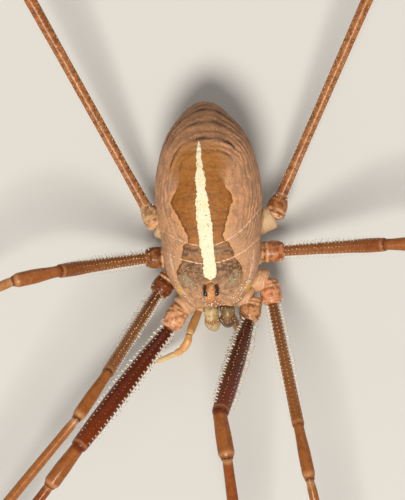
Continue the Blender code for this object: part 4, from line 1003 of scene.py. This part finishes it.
# How much shorter the spines have become at the far end of a femur
SPINE_FADE = {1: 0.40, 2: 0.50, 3: 0.75, 4: 0.30}
draw = random.Random(11)
roots = []
for name in LEGS:
    number, side = int(name.split("_")[1]), name.split("_")[2]
    joints, _ = leg_joints(name)
    rows, gap, length, leaning = SPINE_ROWS[number]
    base, knee = joints[1], joints[2]
    along = (knee - base).normalized()
    across, up = cross_axes(along)
    points = line(base - SOCKET_OVERLAP * along, knee, 0.06, 0.06)
    count = int(LEG_SPANS[number]["femur"] * (SPINE_SHARE[1] - SPINE_SHARE[0]) / gap)
    for order, (row, scale) in enumerate(rows):
        turn = math.radians(row if side == "left" else 180 - row)
        for i in range(count):
            share = SPINE_SHARE[0] + (SPINE_SHARE[1] - SPINE_SHARE[0]) * (i + 0.5 * (order % 2) + draw.uniform(-0.16, 0.16)) / count
            bend = turn + math.radians(draw.uniform(-5, 5))
            out = math.cos(bend) * across + math.sin(bend) * up
            radius = float(between(FEMUR_RADII[number], share))
            fade = 1.0 - SPINE_FADE[number] * max(0.0, share - 0.50) / 0.50
            place = points[0].lerp(points[-1], share) + up * 0.06 * math.sin(math.pi * share) + out * (radius - 0.03)
            forwards = leaning + 0.60 * max(0.0, math.sin(bend)) * along.z
            lean = out + forwards * along + Vector([draw.uniform(-0.14, 0.14) for _ in range(3)])
            roots.append((place, lean.normalized(), length * fade * scale * draw.uniform(0.8, 1.1) + 0.03))
    # A ring of shorter spines round the far rim of the trochanter
    hip = joints[0]
    along = (base - hip).normalized()
    across, up = cross_axes(along)
    for i in range(9):
        turn = 2.0 * math.pi * (i + draw.uniform(-0.2, 0.2)) / 9
        out = math.cos(turn) * across + math.sin(turn) * up
        share = draw.uniform(0.80, 0.92)
        out *= float(between(trochanter_radii(number), share)) - 0.01
        roots.append((hip.lerp(base, share) + out, (out.normalized() + 0.6 * along).normalized(), draw.uniform(0.10, 0.16)))
    # Small ones scattered over the trochanter and the patella
    for i in range(16):
        turn = draw.uniform(0.0, 2.0 * math.pi)
        out = math.cos(turn) * across + math.sin(turn) * up
        share = draw.uniform(0.36, 0.80)
        radius = float(between(trochanter_radii(number), share)) - 0.02
        roots.append((hip.lerp(base, share) + out * radius, (out + 0.5 * along).normalized(), draw.uniform(0.05, 0.08)))
    shin = joints[3]
    along = (shin - knee).normalized()
    across, up = cross_axes(along)
    for i in range(34):
        turn, share = draw.uniform(0.0, 2.0 * math.pi), draw.uniform(0.10, 0.90)
        out = math.cos(turn) * across + math.sin(turn) * up
        radius = float(between(tuple(zip((0.0, 0.12, 0.62, 0.88, 1.0), PATELLA_RADII[number])), share))
        place = knee.lerp(shin, share) + up * 0.05 * math.sin(math.pi * share) + out * (radius - 0.012)
        roots.append((place, (out + 0.6 * along).normalized(), draw.uniform(0.04, 0.06)))
spine_finish = peg_finish("white-tipped spine", PEG_ROOT, 0.18, 0.76, 0.28, SHAFT_WHITE)
spines = peg_mesh("leg_spines", roots, spine_finish, Thickness=0.165, Point=0.28, Sides=6, Variation=0.10, Seed=5)
piece("leg_spines", spines, spine_finish, "femur")

# Grains of the back: in rows across the plates, thick on the front rim, round the eye mound and along the margins
skin_finder = BVHTree.FromPolygons([v.co / MM - ORIGIN for v in trunk.vertices], [tuple(p.vertices) for p in trunk.polygons])
BACK_ROWS = (-2.32, -1.75, -1.15, -0.5, 0.15, 0.8, 1.5, 2.15, 2.9, 3.6)
draw = random.Random(23)
spots = []
for y in BACK_ROWS:
    reach = float(along_trunk(y, 1)) * 0.86
    count = int(2.0 * reach / 0.19)
    for i in range(count):
        if draw.random() < (0.66 if y < 1.0 else 0.42):
            x = -reach + 2.0 * reach * (i + draw.uniform(-0.3, 0.3)) / count
            spots.append((x, y + 0.12 * x * x * (1 if y > 0 else 0.6) * (-1 if y > 1.5 else 1) + draw.uniform(-0.05, 0.05), draw.uniform(0.035, 0.055)))
rim = []
for _ in range(60):
    spot = (TRUNK_MIDDLE + draw.uniform(-0.42, 0.42), draw.uniform(-4.47, -4.14))
    if all(math.dist(spot, other) > 0.095 for other in rim):
        rim.append(spot)
        spots.append((*spot, draw.uniform(0.055, 0.085)))
for _ in range(20):
    side = draw.choice((-1.0, 1.0))
    spots.append((MOUND_CENTRE.x + side * draw.uniform(0.02, 0.12), draw.uniform(-4.2, -3.65), draw.uniform(0.035, 0.06)))
# Rows of larger grains along both margins of the front, and finer ones that run out from the mound
FRONT_ROWS = (((1.60, -3.42), (0.86, -4.14), 10, 0.085), ((1.20, -4.10), (0.78, -4.42), 5, 0.080), ((-1.52, -3.50), (-0.84, -4.36), 9, 0.070),
              ((0.40, -3.80), (1.20, -3.22), 5, 0.045), ((-0.50, -3.80), (-1.25, -3.22), 5, 0.045))
for near, far, count, size in FRONT_ROWS:
    for i in range(count):
        share = (i + draw.uniform(-0.25, 0.25)) / (count - 1)
        spot = Vector(near).lerp(Vector(far), share) + Vector((draw.uniform(-0.06, 0.06), draw.uniform(-0.05, 0.05)))
        spots.append((spot.x, spot.y, size * draw.uniform(0.8, 1.15)))
for _ in range(60):
    y = draw.uniform(-2.2, 3.6)
    spots.append((TRUNK_MIDDLE + draw.uniform(-0.92, 0.92) * float(along_trunk(y, 1)), y, draw.uniform(0.03, 0.06)))
for _ in range(110):
    y = draw.uniform(-4.3, -2.3)
    spots.append((TRUNK_MIDDLE + draw.choice((-1.0, 1.0)) * float(along_trunk(y, 1)) * draw.uniform(0.35, 0.93), y, draw.uniform(0.03, 0.05)))
roots = []
for x, y, size in spots:
    hit, normal, _, _ = skin_finder.ray_cast(Vector((x, y, 9.0)), Vector((0.0, 0.0, -1.0)))
    if hit is not None and normal.z > 0.2:
        roots.append((hit - 0.012 * normal, normal + Vector((0.0, 0.25 if y > -3 else -0.35, 0.0)), size))
# Fine grains on the upper side of the pincers too
for path in CHELICERAE.values():
    arm = through(path, 0.04)
    for _ in range(30):
        i = draw.randrange(6, int(0.62 * len(arm)))
        along = (arm[i + 1] - arm[i - 1]).normalized()
        across, up = cross_axes(along)
        turn = math.radians(draw.uniform(15, 165))
        out = math.cos(turn) * across + math.sin(turn) * up
        radius = float(between(ARM_RADII, i / len(arm)))
        roots.append((arm[i] + out * (radius - 0.012), out, draw.uniform(0.035, 0.055)))
grain_finish = peg_finish("pale grain", (0.36, 0.15, 0.055), 0.45, 1.3, 0.40, (0.62, 0.42, 0.22))
grains = peg_mesh("back_grains", roots, grain_finish, Thickness=0.48, Point=0.35, Sides=6, Variation=0.2, Seed=8)
piece("back_grains", grains, grain_finish, "carapace")

# Floor: one large, plain, pale surface.
floor_finish, tree, shader = new_material("plain floor")
tree.links.new(mixed(tree, grain(tree, 40.0), (0.55, 0.535, 0.50), (0.57, 0.555, 0.52)), shader.inputs["Base Color"])
shader.inputs["Roughness"].default_value = 0.75
bm = bmesh.new()
bmesh.ops.create_grid(bm, x_segments=4, y_segments=4, size=0.5)
mesh = bpy.data.meshes.new("floor")
bm.to_mesh(mesh)
bm.free()
mesh.materials.append(floor_finish)
floor = bpy.data.objects.new("floor", mesh)
bpy.context.scene.collection.objects.link(floor)

# Light: a large soft lamp high in front of the animal and a little to its right, a weak one behind, and pale air.
bpy.context.scene.view_settings.view_transform = "Standard"
world = bpy.data.worlds.new("pale air")
world.use_nodes = True
world.node_tree.nodes["Background"].inputs["Color"].default_value = (1.0, 0.975, 0.94, 1.0)
world.node_tree.nodes["Background"].inputs["Strength"].default_value = 0.36
bpy.context.scene.world = world
TARGET = Vector((ORIGIN.x, ORIGIN.y, 3.0)) * MM
for name, heading, height, away, size, power in (("key", -100, 58, 1.1, 0.40, 14.2), ("back", 70, 40, 1.2, 0.8, 1.6)):
    lamp = bpy.data.lights.new(name, "AREA")
    lamp.shape = "DISK"
    lamp.size = size
    lamp.energy = power
    lamp.color = (1.0, 0.965, 0.91) if name == "key" else (0.93, 0.96, 1.0)
    holder = bpy.data.objects.new(name, lamp)
    bpy.context.scene.collection.objects.link(holder)
    holder.location = TARGET + away * direction(heading, height)
    holder.rotation_euler = (-direction(heading, height)).to_track_quat("-Z", "Y").to_euler()

# Camera: high over the head, looking down at the back, as the photo was taken.
PIXEL = 0.04342
VIEW_AWAY = 150.0
VIEW_HEIGHT, VIEW_TURN = math.radians(82.0), math.radians(3.04)
FRAME = (405, 500)
SEEN = Vector((0.0, 0.0, 3.2))
SEEN_AT = (207.5, 204.5)
ahead = Vector((math.cos(VIEW_HEIGHT) * math.sin(VIEW_TURN), math.cos(VIEW_HEIGHT) * math.cos(VIEW_TURN), -math.sin(VIEW_HEIGHT)))
right = Vector((math.cos(VIEW_TURN), -math.sin(VIEW_TURN), 0.0))
up = right.cross(ahead)
focal = VIEW_AWAY / PIXEL
eye = SEEN - VIEW_AWAY * ahead
aim = (ahead + right * ((0.5 * FRAME[0] - SEEN_AT[0]) / focal) - up * ((0.5 * FRAME[1] - SEEN_AT[1]) / focal)).normalized()
right = (right - aim * right.dot(aim)).normalized()
up = right.cross(aim)
lens = bpy.data.cameras.new("camera")
lens.sensor_width = 36.0
lens.lens = lens.sensor_width * focal / FRAME[1]
lens.clip_start, lens.clip_end = 0.001, 10.0
camera = bpy.data.objects.new("camera", lens)
bpy.context.scene.collection.objects.link(camera)
camera.matrix_world = Matrix.Translation((eye + ORIGIN) * MM) @ Matrix((right, up, -aim)).transposed().to_4x4()
bpy.context.scene.camera = camera
